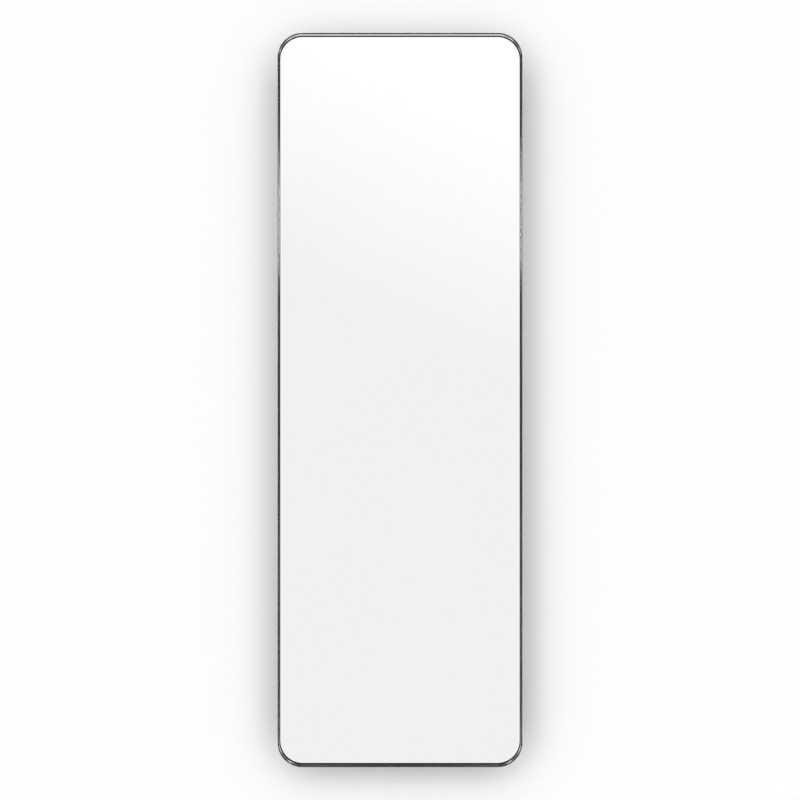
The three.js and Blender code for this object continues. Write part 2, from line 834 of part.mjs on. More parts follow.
const innerBall = new THREE.Vector2(
  outerBall.x + 2 * raceMiddle * shoulderCos,
  outerBall.y - 2 * raceMiddle * shoulderSin,
);

function outerMemberLine() {
  const raceStart = new THREE.Vector2(
    outerBall.x - raceMiddle * shoulderCos,
    outerBall.y + raceMiddle * shoulderSin,
  );
  const bendEndDepth = outerWebDepth + outerMemberBend * (1 - shoulderCos);
  const bendEndHeight = raceStart.y - (raceStart.x - bendEndDepth) * (shoulderCos / shoulderSin);
  const bendCentreHeight = bendEndHeight - outerMemberBend * shoulderSin;
  return symmetricLine([
    ...arcPoints(
      outerWebDepth + outerMemberBend,
      bendCentreHeight,
      outerMemberBend,
      180,
      riseDegrees,
      bendSteps,
    ),
    ...arcPoints(outerBall.x, outerBall.y, raceMiddle, riseDegrees, outerLipDegrees, raceSteps),
  ]);
}

function middleMemberLine() {
  const bendCentre = new THREE.Vector2(
    outerBall.x - (raceMiddle + memberBend) * shoulderCos,
    outerBall.y - (raceMiddle + memberBend) * shoulderSin,
  );
  return symmetricLine([
    ...arcPoints(bendCentre.x, bendCentre.y, memberBend, 180, shoulderDegrees, bendSteps),
    ...arcPoints(
      outerBall.x,
      outerBall.y,
      raceMiddle,
      -riseDegrees,
      -shoulderDegrees,
      bendSteps,
    ).slice(1),
    ...arcPoints(
      innerBall.x,
      innerBall.y,
      raceMiddle,
      riseDegrees,
      middleLipDegrees,
      bendSteps,
    ).slice(1),
  ]);
}

function innerMemberLine() {
  const raceStartDepth = innerBall.x + raceMiddle * shoulderCos;
  const bend = (innerWebDepth - raceStartDepth) / (1 + shoulderCos);
  const bendCentreHeight = innerBall.y - (raceMiddle + bend) * shoulderSin;
  return symmetricLine([
    ...arcPoints(innerWebDepth - bend, bendCentreHeight, bend, 0, riseDegrees, bendSteps),
    ...arcPoints(
      innerBall.x,
      innerBall.y,
      raceMiddle,
      -shoulderDegrees,
      -innerLipDegrees,
      raceSteps,
    ).slice(1),
  ]);
}

function cageLine(webDepth, ball) {
  return symmetricLine([
    ...arcPoints(webDepth + cageBend, ball.y - cageBend, cageBend, 180, 90, bendSteps),
    new THREE.Vector2(ball.x + ballRadius, ball.y),
  ]);
}

const slideRearX = slideCentreX - slideLength / 2;
const memberRearX = slideRearX + bumperLength + fitGap;
const cageHalfLength = (slideLength * cageLengthShare) / 2;
const ballPitch = (2 * (cageHalfLength - cageEnd)) / (ballsPerRow - 1);
const stopTabX = cageHalfLength + slideTravel / 4 + fitGap;

// A stop tab across a web, standing from its middle to a depth, on the front (1) or rear (-1) end
function stopTab(z, webDepth, reachDepth, end) {
  const near = slideCentreX + end * stopTabX;
  const far = near + end * stopTabLength;
  const shallow = Math.min(webDepth, reachDepth);
  const deep = Math.max(webDepth, reachDepth);
  return box(
    Math.min(near, far),
    Math.max(near, far),
    slideBackY - deep,
    slideBackY - shallow,
    z - stopTabHeight / 2,
    z + stopTabHeight / 2,
  );
}

function outerMember(z) {
  const profile = sheetOutline(outerMemberLine(), slideSheet);
  const member = placeSlidePrism(profile, slideRearX, slideFrontX, z);
  const tab = stopTab(z, outerWebDepth, slideSheet + fitGap + cageSheet, 1);
  const sinks = slideScrewXs.map((x) => slideScrew(x, z, fitGap));
  const pegHole = cylinderY(
    slideRearX + bumperLength / 2,
    z,
    slideBackY - slideSheet - cutOverrun,
    slideBackY + cutOverrun,
    bumperPegRadius + fitGap,
  );
  return cut(member.add(tab), [...sinks, pegHole]);
}

// A countersunk screw through the outer member's web into the base plate, or its hole where grow is above 0
function slideScrew(x, z, grow) {
  const headY = slideBackY - slideSheet;
  const shank = slideScrewRadius + grow;
  const reach = grow > 0 ? cutOverrun : 0;
  const head = cylinderY(x, z, headY, slideBackY, slideScrewSinkRadius + grow, shank);
  const body = cylinderY(x, z, slideBackY - slideSheet / 2, -fitGap + reach, shank);
  const mouth = cylinderY(x, z, headY - reach, headY + fitGap / 2, slideScrewSinkRadius + grow);
  return grow > 0 ? join([head, body, mouth]) : join([head, body]);
}

function middleMember(z) {
  const profile = sheetOutline(middleMemberLine(), slideSheet);
  const member = placeSlidePrism(profile, memberRearX, slideFrontX, z);
  const rearTab = stopTab(z, middleWebDepth, slideSheet + fitGap, -1);
  const frontTab = stopTab(z, middleWebDepth, innerCageDepth + cageSheet / 2, 1);
  return cut(join([member, rearTab, frontTab]), accessHoles(z));
}

// Holes through which the screws of the outer member are reached
function accessHoles(z) {
  return slideScrewXs.map((x) =>
    cylinderY(x, z, slideBackY - slideDepth - cutOverrun, slideBackY, memberAccessRadius),
  );
}

function innerMember(z) {
  const profile = sheetOutline(innerMemberLine(), slideSheet);
  const member = placeSlidePrism(profile, memberRearX, slideFrontX, z);
  const raceStops = [-1, 1].map((side) => {
    const low = z + side * (innerBall.y - raceMiddle);
    const high = z + side * (innerBall.y + cageSheet / 2);
    return box(
      slideCentreX - stopTabX - stopTabLength,
      slideCentreX - stopTabX,
      slideBackY - innerBall.x - ballRadius / 2,
      slideBackY - innerBall.x + ballRadius / 2,
      Math.min(low, high),
      Math.max(low, high),
    );
  });
  const front = slideBackY - slideDepth - cutOverrun;
  const screwHoles = carriageScrewXs.map((x) =>
    cylinderY(x, z, front, slideBackY - innerBall.x, screwRadius + fitGap),
  );
  return cut(join([member, ...raceStops]), [...accessHoles(z), ...screwHoles]);
}

// A section of a slide, extruded along X at the slide's height
function placeSlidePrism(profile, startX, endX, z) {
  const raised = profile.map((point) => new THREE.Vector2(point.x, point.y + z));
  return prismX(raised, startX, endX, slideBackY);
}

// A bent cage strip with two rows of balls
function ballCage(z, webDepth, ball) {
  const profile = sheetOutline(cageLine(webDepth, ball), cageSheet);
  const strip = placeSlidePrism(profile, slideCentreX - cageHalfLength, slideCentreX + cageHalfLength, z);
  const balls = [];
  for (let i = 0; i < ballsPerRow; i += 1) {
    const x = slideCentreX + (i - (ballsPerRow - 1) / 2) * ballPitch;
    [-1, 1].forEach((side) => {
      const geometry = new THREE.SphereGeometry(ballRadius, ballSteps, ballRings);
      geometry.translate(x, slideBackY - ball.x, z + side * ball.y);
      balls.push(solidOf(geometry));
    });
  }
  return join([strip, ...balls]);
}

function rearBumper(z) {
  const webFace = slideSheet + fitGap;
  const noseFace = slideDepth - fitGap;
  const outline = [
    [webFace, -bumperWingHeight / 2],
    [webFace + bumperWingDepth, -bumperWingHeight / 2],
    [webFace + bumperWingDepth, -bumperNoseHeight / 2],
    [noseFace, -bumperNoseHeight / 2],
    [noseFace, bumperNoseHeight / 2],
    [webFace + bumperWingDepth, bumperNoseHeight / 2],
    [webFace + bumperWingDepth, bumperWingHeight / 2],
    [webFace, bumperWingHeight / 2],
  ].map(([depth, height]) => new THREE.Vector2(depth, height));
  const block = placeSlidePrism(outline, slideRearX, slideRearX + bumperLength, z);
  const peg = cylinderY(
    slideRearX + bumperLength / 2,
    z,
    slideBackY - webFace - fitGap,
    slideBackY - fitGap,
    bumperPegRadius,
  );
  return block.add(peg);
}

function basePlate() {
  const startX = slideCentreX - baseLength / 2;
  const plate = channelAlongX(
    startX,
    startX + baseLength,
    baseHeight,
    baseThickness,
    baseLip,
    baseBend,
    0,
  );
  const front = -baseThickness - cutOverrun;
  const rear = cutOverrun;
  const windows = windowPair(
    startX + baseWindowMarginX,
    startX + baseLength - baseWindowMarginX,
    0,
    slideSpacing - slideHeight - 2 * baseWindowMarginZ,
    baseWindowBar,
    baseWindowRadius,
    front,
    rear,
  );
  const panelHoles = [-1, 1].flatMap((side) =>
    [-1, 0, 1].flatMap((row) => {
      const x = slideCentreX + (side * panelHoleSpacingX) / 2;
      const z = (row * panelHoleSpacingZ) / 2;
      const bore = cylinderY(x, z, front, rear, panelHoleRadius);
      const sink = cylinderY(x, z, -baseThickness, 0, panelSinkRadius, panelHoleRadius);
      return [bore, sink];
    }),
  );
  const slideHoles = slideScrewXs.flatMap((x) =>
    slideZs.map((z) => cylinderY(x, z, front, rear, slideScrewRadius + fitGap)),
  );
  return cut(plate, [...windows, ...panelHoles, ...slideHoles]);
}

// Fixed to the closet's side panel
addPiece("base_plate", basePlate(), "powderCoated");
const slides = [
  ["upper", slideZ],
  ["lower", -slideZ],
];
const ends = [
  ["rear", 0],
  ["front", 1],
];
slides.forEach(([level, z]) => {
  addPiece(`${level}_slide_outer_member`, outerMember(z), "zincPlated");
  addPiece(`${level}_slide_rear_bumper`, rearBumper(z), "blackPlastic");
  ends.forEach(([end, i]) => {
    addPiece(`${level}_slide_${end}_screw`, slideScrew(slideScrewXs[i], z, 0), "brightSteel");
  });
});

// The telescopic members and their ball cages
slides.forEach(([level, z]) => {
  addPiece(`${level}_slide_outer_ball_cage`, ballCage(z, outerCageDepth, outerBall), "brightSteel");
  addPiece(`${level}_slide_middle_member`, middleMember(z), "zincPlated");
  addPiece(`${level}_slide_inner_ball_cage`, ballCage(z, innerCageDepth, innerBall), "brightSteel");
  addPiece(`${level}_slide_inner_member`, innerMember(z), "zincPlated");
});

// The carriage
addPiece("carriage_plate", carriagePlate(), "powderCoated");
slides.forEach(([level, z]) => {
  ends.forEach(([end, i]) => {
    const length = carriageThickness + fitGap + slideSheet + screwTail;
    const screw = panHeadScrew(
      carriageScrewXs[i],
      z,
      carriageFrontY,
      -1,
      length,
      screwRadius,
      screwHeadRadius,
      screwHeadHeight,
    );
    addPiece(`${level}_carriage_${end}_screw`, screw, "brightSteel");
  });
});
addPiece("catch_housing", catchHousing(), "blackPlastic");
addPiece("catch_magnet", catchMagnet(), "brightSteel");
const pivotTube = ringOnPivot(tubeRadius, tubeRadius - tubeWall, -tubeTopZ, tubeTopZ);
addPiece("pivot_tube", pivotTube, "powderCoated");
addPiece("swivel_stop_ring", swivelStopRing(), "powderCoated");
addPiece("upper_pivot_bush", flangedBush(), "naturalPlastic");
addPiece("lower_pivot_bush", upsideDown(flangedBush()), "naturalPlastic");

// The swivel's moving half
addPiece("upper_friction_washer", frictionWasher(), "naturalPlastic");
addPiece("lower_friction_washer", upsideDown(frictionWasher()), "naturalPlastic");
addPiece("upper_pivot_bracket", pivotBracket(true), "powderCoated");
addPiece("lower_pivot_bracket", upsideDown(pivotBracket(false)), "powderCoated");
addPiece("pivot_shaft", pivotShaft(), "brightSteel");
addPiece("disc_spring", discSpring(), "brightSteel");
addPiece("lock_nut", lockNut(), "brightSteel");
slides.forEach(([level, z]) => {
  ends.forEach(([end, i]) => {
    const length = bracketThickness + fitGap + spineThickness + screwTail;
    const screw = panHeadScrew(
      bracketScrewXs[i],
      Math.sign(z) * bracketScrewZ,
      spineRearY + fitGap + bracketThickness,
      1,
      length,
      screwRadius,
      screwHeadRadius,
      screwHeadHeight,
    );
    addPiece(`${level}_bracket_${end}_screw`, screw, "brightSteel");
  });
});
addPiece("hinge_spine", hingeSpine(), "powderCoated");

// The mirror
railHeights.forEach(([level, z]) => {
  addPiece(`${level}_cross_rail`, crossRail(z), "zincPlated");
  const spineScrewLength = spineThickness + fitGap + railThickness + screwTail;
  const spineScrew = panHeadScrew(
    spineX,
    z,
    spineRearY,
    1,
    spineScrewLength,
    screwRadius,
    screwHeadRadius,
    screwHeadHeight,
  );
  addPiece(`${level}_spine_screw`, spineScrew, "brightSteel");
  railSides.forEach(([edge, side]) => {
    const seatY = frameFrontY + railFootDepth + railThickness;
    const length = seatY - frameFrontY - ledgeFrontDepth - glazingGap / 2;
    const screw = panHeadScrew(
      side * railScrewX,
      z,
      seatY,
      1,
      length,
      railScrewRadius,
      railScrewHeadRadius,
      railScrewHeadHeight,
    );
    addPiece(`${level}_rail_${edge}_screw`, screw, "brightSteel");
  });
});
addPiece("backing_board", backingBoard(), "darkBoard");
addPiece("safety_film", framePlate(glassEdge, filmFrontDepth, filmBackDepth), "greyFilm");
addPiece("glazing_gasket", glazingGasket(), "blackRubber");
addPiece("mirror_glass", framePlate(glassEdge, glassRecess, glassBackDepth), "silvered");
addPiece("frame_joiner", frameJoiner(), "zincPlated");
addPiece("mirror_frame", mirrorFrame(), "darkAnodised");

export default group;
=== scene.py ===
"""Looks of a pull-out closet mirror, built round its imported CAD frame.

Blender 4.5, metres, +Z up. The mirror faces -Y and pulls out along +X. Meshes are drawn in millimetres
and brought to metres when a piece is finished.
"""

import logging
import math
from collections.abc import Callable, Iterable, Mapping, Sequence
from dataclasses import dataclass, field
from enum import Enum

import bmesh
import bpy
from mathutils import Matrix, Vector


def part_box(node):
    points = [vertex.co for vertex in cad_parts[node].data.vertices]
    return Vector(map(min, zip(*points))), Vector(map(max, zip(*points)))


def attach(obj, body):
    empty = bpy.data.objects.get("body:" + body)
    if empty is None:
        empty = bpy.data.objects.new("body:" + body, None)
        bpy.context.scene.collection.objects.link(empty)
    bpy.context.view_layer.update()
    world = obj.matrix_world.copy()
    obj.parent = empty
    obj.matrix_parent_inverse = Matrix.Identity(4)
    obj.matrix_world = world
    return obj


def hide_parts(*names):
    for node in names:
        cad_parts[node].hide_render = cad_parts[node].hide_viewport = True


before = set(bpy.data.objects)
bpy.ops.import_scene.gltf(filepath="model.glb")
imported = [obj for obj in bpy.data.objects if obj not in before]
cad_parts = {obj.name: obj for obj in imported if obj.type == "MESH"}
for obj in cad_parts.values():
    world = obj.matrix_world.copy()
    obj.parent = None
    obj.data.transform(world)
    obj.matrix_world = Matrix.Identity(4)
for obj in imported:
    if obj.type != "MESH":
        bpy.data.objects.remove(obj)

LOG = logging.getLogger("closet_mirror")

Point2 = tuple[float, float]
Point3 = tuple[float, float, float]

MM = 0.001  # one millimetre in metres
FIT_GAP = 0.3  # mm between pieces that rest on each other, as in the frame
OVERRUN = 1.0  # mm that a cutter reaches past the faces that it cuts
SPINE_SHEET = 2.0  # mm, steel of the hinge spine
BRACKET_SHEET = 3.0  # mm, steel of the pivot brackets
SMOOTH_DEGREES = 32.0  # edges sharper than this stay crisp
SOFTEN_DEGREES = 38.0  # edges sharper than this get a small round
SAME_POINT = 1e-5  # mm, points nearer together than this are one in a new solid
SLIVER = 0.05  # mm, points nearer together than this are merged before edges are rounded
CRUMB = 0.001  # mm, and after it
SIDE_SHARE = 0.48  # of a side, the most that the round of one of its corners takes up
STRAIGHT = 1e-9  # mm, a corner whose round would reach less than this is none
SMALLEST_ROUND = 1e-6  # mm
MITRE_SHARE = 0.5  # how sharp a bent sheet's corner may grow
FACING = 0.99  # of a whole, from which a face counts as facing along an axis
SCREW_PLACES = ("rear", "front")
RAIL_LEVELS = ("upper", "middle", "lower")
RAIL_SIDES = ("trailing", "leading")


class Along(Enum):
    """The axis that a prism is drawn out along."""

    X = "x"
    Y = "y"
    Z = "z"


class Body(Enum):
    """The moving bodies of the frame."""

    BASE = "base"
    OUTER_CAGES = "outer_ball_cages"
    MIDDLE = "middle_members"
    INNER_CAGES = "inner_ball_cages"
    CARRIAGE = "carriage"
    MIRROR = "mirror"


class Level(Enum):
    """Which of two stacked slides a piece belongs to."""

    UPPER = "upper"
    LOWER = "lower"


# Drawing in the plane


def arc(x: float, y: float, radius: float, start: float, end: float, steps: int) -> list[Point2]:
    """Points of an arc, both ends included.

    Args:
        x: First coordinate of the centre.
        y: Second coordinate of the centre.
        radius: Radius of the arc.
        start: First angle in degrees.
        end: Last angle in degrees.
        steps: Number of chords.

    Returns:
        The points in order.
    """
    angles = (math.radians(start + (end - start) * i / steps) for i in range(steps + 1))
    return [(x + radius * math.cos(a), y + radius * math.sin(a)) for a in angles]


def circle(x: float, y: float, radius: float, steps: int = 40) -> list[Point2]:
    """A whole circle as an outline without a doubled point."""
    return arc(x, y, radius, 0, 360, steps)[:-1]


def rounded_rectangle(low: Point2, high: Point2, radius: float, steps: int = 8) -> list[Point2]:
    """A rectangle with round corners.

    Args:
        low: Lowest corner.
        high: Highest corner.
        radius: Corner radius.
        steps: Chords of a corner.

    Returns:
        The outline, anticlockwise.
    """
    left, bottom = low[0] + radius, low[1] + radius
    right, top = high[0] - radius, high[1] - radius
    return [
        *arc(right, top, radius, 0, 90, steps),
        *arc(left, top, radius, 90, 180, steps),
        *arc(left, bottom, radius, 180, 270, steps),
        *arc(right, bottom, radius, 270, 360, steps),
    ]


def rounded(points: Sequence[Point2], radius: float, steps: int = 5, closed: bool = True) -> list[Point2]:
    """A row of points with its corners rounded.

    Args:
        points: Corners in order.
        radius: Wanted radius, made smaller where a side is short.
        steps: Chords of a corner.
        closed: Whether the last point joins the first.

    Returns:
        The points of the rounded row.
    """
    made: list[Point2] = []
    count = len(points)
    for i, here in enumerate(points):
        if not closed and i in (0, count - 1):
            made.append(here)
            continue
        corner = Vector(here)
        back = Vector(points[i - 1]) - corner
        onward = Vector(points[(i + 1) % count]) - corner
        turn = math.pi - back.angle(onward)
        reach = radius * math.tan(turn / 2)
        most = SIDE_SHARE * min(back.length, onward.length)
        used = radius * min(1.0, most / reach) if reach > STRAIGHT else 0.0
        if used < SMALLEST_ROUND:
            made.append(here)
            continue
        reach = used * math.tan(turn / 2)
        start = corner + back.normalized() * reach
        end = corner + onward.normalized() * reach
        middle = corner + (back.normalized() + onward.normalized()).normalized() * (
            used / math.cos(turn / 2)
        )
        first = math.atan2(start.y - middle.y, start.x - middle.x)
        last = math.atan2(end.y - middle.y, end.x - middle.x)
        while last - first > math.pi:
            last -= 2 * math.pi
        while last - first < -math.pi:
            last += 2 * math.pi
        made += arc(middle.x, middle.y, used, math.degrees(first), math.degrees(last), steps)
    return made


def sheet_outline(line: Sequence[Point2], thickness: float) -> list[Point2]:
    """The outline of a bent sheet whose middle line is an open row of points.

    Args:
        line: The middle of the sheet.
        thickness: Thickness of the sheet.

    Returns:
        The closed outline.
    """
    left: list[Point2] = []
    right: list[Point2] = []
    for i, here in enumerate(line):
        point = Vector(here)
        before = point - Vector(line[i - 1]) if i > 0 else None
        after = Vector(line[i + 1]) - point if i < len(line) - 1 else None
        along = (before or after).normalized()
        onward = (after or before).normalized()
        mean = (along + onward).normalized()
        reach = thickness / 2 / max(mean.dot(along), MITRE_SHARE)
        left.append((point.x - mean.y * reach, point.y + mean.x * reach))
        right.insert(0, (point.x + mean.y * reach, point.y - mean.x * reach))
    return left + right


def both_halves(half: Sequence[Point2]) -> list[Point2]:
    """A section line completed by its mirror image below the middle."""
    return [(x, -y) for x, y in reversed(half)] + list(half)


# Solids in millimetres


def placed(name: str, data: bpy.types.Mesh | bpy.types.Camera) -> bpy.types.Object:
    """A new object of a mesh or a camera, in the scene."""
    made = bpy.data.objects.new(name, data)
    bpy.context.scene.collection.objects.link(made)
    return made


def face_outwards(mesh: bpy.types.Mesh, distance: float = 0.0) -> None:
    """Turns the faces of a closed mesh outwards.

    Args:
        mesh: The mesh.
        distance: Points nearer together than this are merged first.
    """
    shell = bmesh.new()
    shell.from_mesh(mesh)
    if distance:
        bmesh.ops.remove_doubles(shell, verts=shell.verts, dist=distance)
    bmesh.ops.recalc_face_normals(shell, faces=shell.faces)
    shell.to_mesh(mesh)
    shell.free()


@dataclass
class Solid:
    """A closed mesh in millimetres."""

    points: list[Point3] = field(default_factory=list)
    faces: list[tuple[int, ...]] = field(default_factory=list)

    def add(self, other: "Solid") -> "Solid":
        """Takes in another solid as a separate shell and returns itself."""
        first = len(self.points)
        self.points += other.points
        self.faces += [tuple(first + i for i in face) for face in other.faces]
        return self

    def moved(self, x: float = 0.0, y: float = 0.0, z: float = 0.0) -> "Solid":
        """The same solid somewhere else."""
        return Solid([(p[0] + x, p[1] + y, p[2] + z) for p in self.points], list(self.faces))

    def upside_down(self) -> "Solid":
        """The same solid turned over top to bottom, with its faces turned round to match."""
        return Solid([(p[0], p[1], -p[2]) for p in self.points], [face[::-1] for face in self.faces])

    def to_object(self, name: str) -> bpy.types.Object:
        """A Blender object of this solid, still in millimetres, with its faces outwards."""
        mesh = bpy.data.meshes.new(name)
        mesh.from_pydata(self.points, [], self.faces)
        face_outwards(mesh, SAME_POINT)
        return placed(name, mesh)


def prism(outline: Sequence[Point2], along: Along, start: float, end: float) -> Solid:
    """An outline drawn out along an axis.

    Args:
        outline: Points in (y, z), (x, z) or (x, y), the two axes that aren't the prism's.
        along: The prism's axis.
        start: Where it starts.
        end: Where it ends.

    Returns:
        The solid.
    """
    place: dict[Along, Callable[[Point2, float], Point3]] = {
        Along.X: lambda p, t: (t, p[0], p[1]),
        Along.Y: lambda p, t: (p[0], t, p[1]),
        Along.Z: lambda p, t: (p[0], p[1], t),
    }
    count = len(outline)
    points = [place[along](p, t) for t in (start, end) for p in outline]
    sides = [(i, (i + 1) % count, count + (i + 1) % count, count + i) for i in range(count)]
    caps = [tuple(range(count)), tuple(range(2 * count - 1, count - 1, -1))]
    return Solid(points, [*sides, *caps])


def block(low: Point3, high: Point3) -> Solid:
    """A box between two corners, as a cutter or as a base for softened edges."""
    outline = [(low[0], low[2]), (high[0], low[2]), (high[0], high[2]), (low[0], high[2])]
    return prism(outline, Along.Y, low[1], high[1])


def turned(profile: Sequence[Point2], steps: int = 64) -> Solid:
    """A closed profile in (radius, z) turned about the Z axis. A profile may touch the axis.

    Args:
        profile: Points in order, radius first.
        steps: Number of facets round the axis.

    Returns:
        The solid, with its axis at x = y = 0.
    """
    count = len(profile)
    points: list[Point3] = []
    for i in range(steps):
        angle = 2 * math.pi * i / steps
        points += [(r * math.cos(angle), r * math.sin(angle), z) for r, z in profile]
    faces = []
    for i in range(steps):
        here, there = i * count, ((i + 1) % steps) * count
        for j in range(count):
            k = (j + 1) % count
            if profile[j][0] > 0 or profile[k][0] > 0:
                faces.append((here + j, there + j, there + k, here + k))
    return Solid(points, faces)


def turned_along_y(profile: Sequence[Point2], x: float, z: float, steps: int = 32) -> Solid:
    """A closed profile in (radius, y) turned about a line along Y through (x, z)."""
    upright = turned(profile, steps)
    return Solid([(p[0] + x, p[2], p[1] + z) for p in upright.points], upright.faces)


def drill(x: float, z: float, radius: float, front: float, rear: float) -> Solid:
    """A round cutter along Y."""
    return turned_along_y([(0, front), (radius, front), (radius, rear), (0, rear)], x, z)


def settle(item: bpy.types.Object) -> None:
    """Turns an object's modifiers into plain mesh.

    Args:
        item: The object, which keeps its name and loses its modifiers.
    """
    bpy.context.view_layer.update()
    graph = bpy.context.evaluated_depsgraph_get()
    mesh = bpy.data.meshes.new_from_object(item.evaluated_get(graph), depsgraph=graph)
    item.modifiers.clear()
    item.data = mesh


def combine(item: bpy.types.Object, tools: Sequence[Solid], operation: str) -> None:
    """Cuts solids from an object or joins them to it.

    Args:
        item: The object, in millimetres.
        tools: The solids, which may overlap each other.
        operation: DIFFERENCE or UNION.
    """
    together = Solid()
    for tool in tools:
        together.add(tool)
    helper = together.to_object(item.name + "_tool")
    change = item.modifiers.new("shape", "BOOLEAN")
    change.object = helper
    change.operation = operation
    change.solver = "EXACT"
    change.use_self = True
    settle(item)
    bpy.data.objects.remove(helper)


def weld(item: bpy.types.Object, distance: float) -> None:
    """Merges an object's points that lie closer together than a distance, so that no sliver is left."""
    shell = bmesh.new()
    shell.from_mesh(item.data)
    bmesh.ops.remove_doubles(shell, verts=shell.verts, dist=distance)
    bmesh.ops.dissolve_degenerate(shell, edges=shell.edges, dist=distance)
    shell.to_mesh(item.data)
    shell.free()


def soften(item: bpy.types.Object, width: float, segments: int = 2) -> None:
    """Gives an object's sharp edges a small round.

    Args:
        item: The object, in millimetres.
        width: Width of the round in millimetres.
        segments: Number of faces across the round.
    """
    weld(item, SLIVER)
    change = item.modifiers.new("edge", "BEVEL")
    change.width = width
    change.segments = segments
    change.limit_method = "ANGLE"
    change.angle_limit = math.radians(SOFTEN_DEGREES)
    change.use_clamp_overlap = True
    settle(item)
    weld(item, CRUMB)


def box_mm(node: str) -> tuple[Vector, Vector]:
    """Lowest and highest corner of a frame node, in millimetres."""
    low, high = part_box(node)
    return low / MM, high / MM


def middle_of(node: str) -> Point2:
    """The x and z of a frame node's middle, in millimetres."""
    low, high = box_mm(node)
    return (low.x + high.x) / 2, (low.z + high.z) / 2


# Finishes

Value = float | Sequence[float] | bpy.types.NodeSocket


def linear(hex_colour: str) -> tuple[float, float, float, float]:
    """An sRGB hex value as linear red, green, blue and a full alpha.

    Args:
        hex_colour: Six hexadecimal digits after a hash sign.

    Returns:
        The colour for a shader's socket.
    """
    shares = [int(hex_colour[i : i + 2], 16) / 255 for i in (1, 3, 5)]
    red, green, blue = (s / 12.92 if s <= 0.04045 else ((s + 0.055) / 1.055) ** 2.4 for s in shares)
    return red, green, blue, 1.0


def add_node(
    tree: bpy.types.NodeTree,
    kind: str,
    values: Mapping[str | int, Value] | None = None,
    **settings: object,
) -> bpy.types.Node:
    """Adds a node with its settings and links.

    Args:
        tree: The tree that gets the node.
        kind: The node's type.
        values: Numbers or sockets for its inputs, by name or by place.
        **settings: The node's own properties.

    Returns:
        The node.
    """
    node = tree.nodes.new(kind)
    for name, value in settings.items():
        setattr(node, name, value)
    for key, value in (values or {}).items():
        if isinstance(value, bpy.types.NodeSocket):
            tree.links.new(value, node.inputs[key])
        else:
            node.inputs[key].default_value = value
    return node


@dataclass(frozen=True)
class Finish:
    """A real material and how its surface was made."""

    name: str
    slot: str
    colour: str
    shade: str
    metallic: float
    roughness: float
    roughness_play: float
    mottle_mm: float
    grain_mm: float
    grain_depth_mm: float
    stretch: Point3 = (1.0, 1.0, 1.0)
    subsurface: float = 0.0
    subsurface_mm: float = 0.6
    on_uv: bool = False

    def material(self) -> bpy.types.Material:
        """The material of this finish, made once.

        Returns:
            A material whose colour and gloss drift slowly and whose surface has a fine grain.
        """
        known = bpy.data.materials.get(self.name)
        if known:
            return known
        made = bpy.data.materials.new(self.name)
        made.use_nodes = True
        tree = made.node_tree
        tree.nodes.clear()
        place = add_node(tree, "ShaderNodeTexCoord")
        space = place.outputs["UV" if self.on_uv else "Object"]
        mottle = add_node(
            tree,
            "ShaderNodeTexNoise",
            {"Vector": space, "Scale": 1 / (self.mottle_mm * MM), "Detail": 4.0, "Roughness": 0.6},
        )
        drawn = add_node(tree, "ShaderNodeMapping", {"Vector": space, "Scale": self.stretch})
        grain = add_node(
            tree,
            "ShaderNodeTexNoise",
            {
                "Vector": drawn.outputs["Vector"],
                "Scale": 1 / (self.grain_mm * MM),
                "Detail": 3.0,
                "Roughness": 0.55,
            },
        )
        drift = add_node(
            tree,
            "ShaderNodeMix",
            {0: mottle.outputs["Fac"], 6: linear(self.colour), 7: linear(self.shade)},
            data_type="RGBA",
        )
        gloss = add_node(
            tree,
            "ShaderNodeMapRange",
            {
                "Value": grain.outputs["Fac"],
                "From Min": 0.25,
                "From Max": 0.75,
                "To Min": self.roughness - self.roughness_play,
                "To Max": self.roughness + self.roughness_play,
            },
        )
        relief = add_node(
            tree,
            "ShaderNodeBump",
            {"Height": grain.outputs["Fac"], "Distance": self.grain_depth_mm * MM, "Strength": 1.0},
        )
        shader = add_node(
            tree,
            "ShaderNodeBsdfPrincipled",
            {
                "Base Color": drift.outputs[2],
                "Metallic": self.metallic,
                "Roughness": gloss.outputs["Result"],
                "Normal": relief.outputs["Normal"],
            },
        )
        if self.subsurface:
            shader.inputs["Subsurface Weight"].default_value = self.subsurface
            shader.inputs["Subsurface Scale"].default_value = self.subsurface_mm * MM
        add_node(tree, "ShaderNodeOutputMaterial", {"Surface": shader.outputs["BSDF"]})
        return made


# Black anodised aluminium: the dye darkens the metal, the etched skin gives a satin gleam, and faint die
# lines run along the extrusion. Its UV map follows the bar, so the lines turn the corners with it.
ANODISED = Finish(
    "dark_anodised_aluminium", "dark_anodised", "#38393b", "#303133", 1.0, 0.18, 0.01, 60.0, 0.35, 0.0008,
    stretch=(0.02, 1.0, 1.0), on_uv=True,
)
# Silvered float glass: a bright, flat reflection, with a trace of haze where it was wiped.
SILVERED = Finish(
    "silvered_float_glass", "silvered_glass", "#fbfbfb", "#f9f9f9", 1.0, 0.003, 0.002, 180.0, 90.0, 0.0,
)
# The ground and polished edge of float glass is glossy, and dark green over the black gasket.
GLASS_EDGE = Finish(
    "polished_glass_edge", "silvered_glass", "#333d39", "#3c4743", 0.0, 0.12, 0.04, 20.0, 0.6, 0.002,
)
# Grey protective paint on the silvering, rolled on and dull.
BACKING_PAINT = Finish(
    "grey_backing_paint", "silvered_glass", "#6b6f74", "#62666b", 0.0, 0.6, 0.06, 30.0, 0.9, 0.01,
)
# Extruded EPDM rubber: black, dull, with a fine skin.
RUBBER = Finish("black_epdm", "black_rubber", "#141516", "#1c1d1f", 0.0, 0.72, 0.06, 12.0, 0.4, 0.008)
# Polyester-backed safety film, with a coarse woven face.
FILM = Finish("safety_film", "grey_film", "#8d9298", "#80858b", 0.0, 0.55, 0.08, 15.0, 0.8, 0.02)
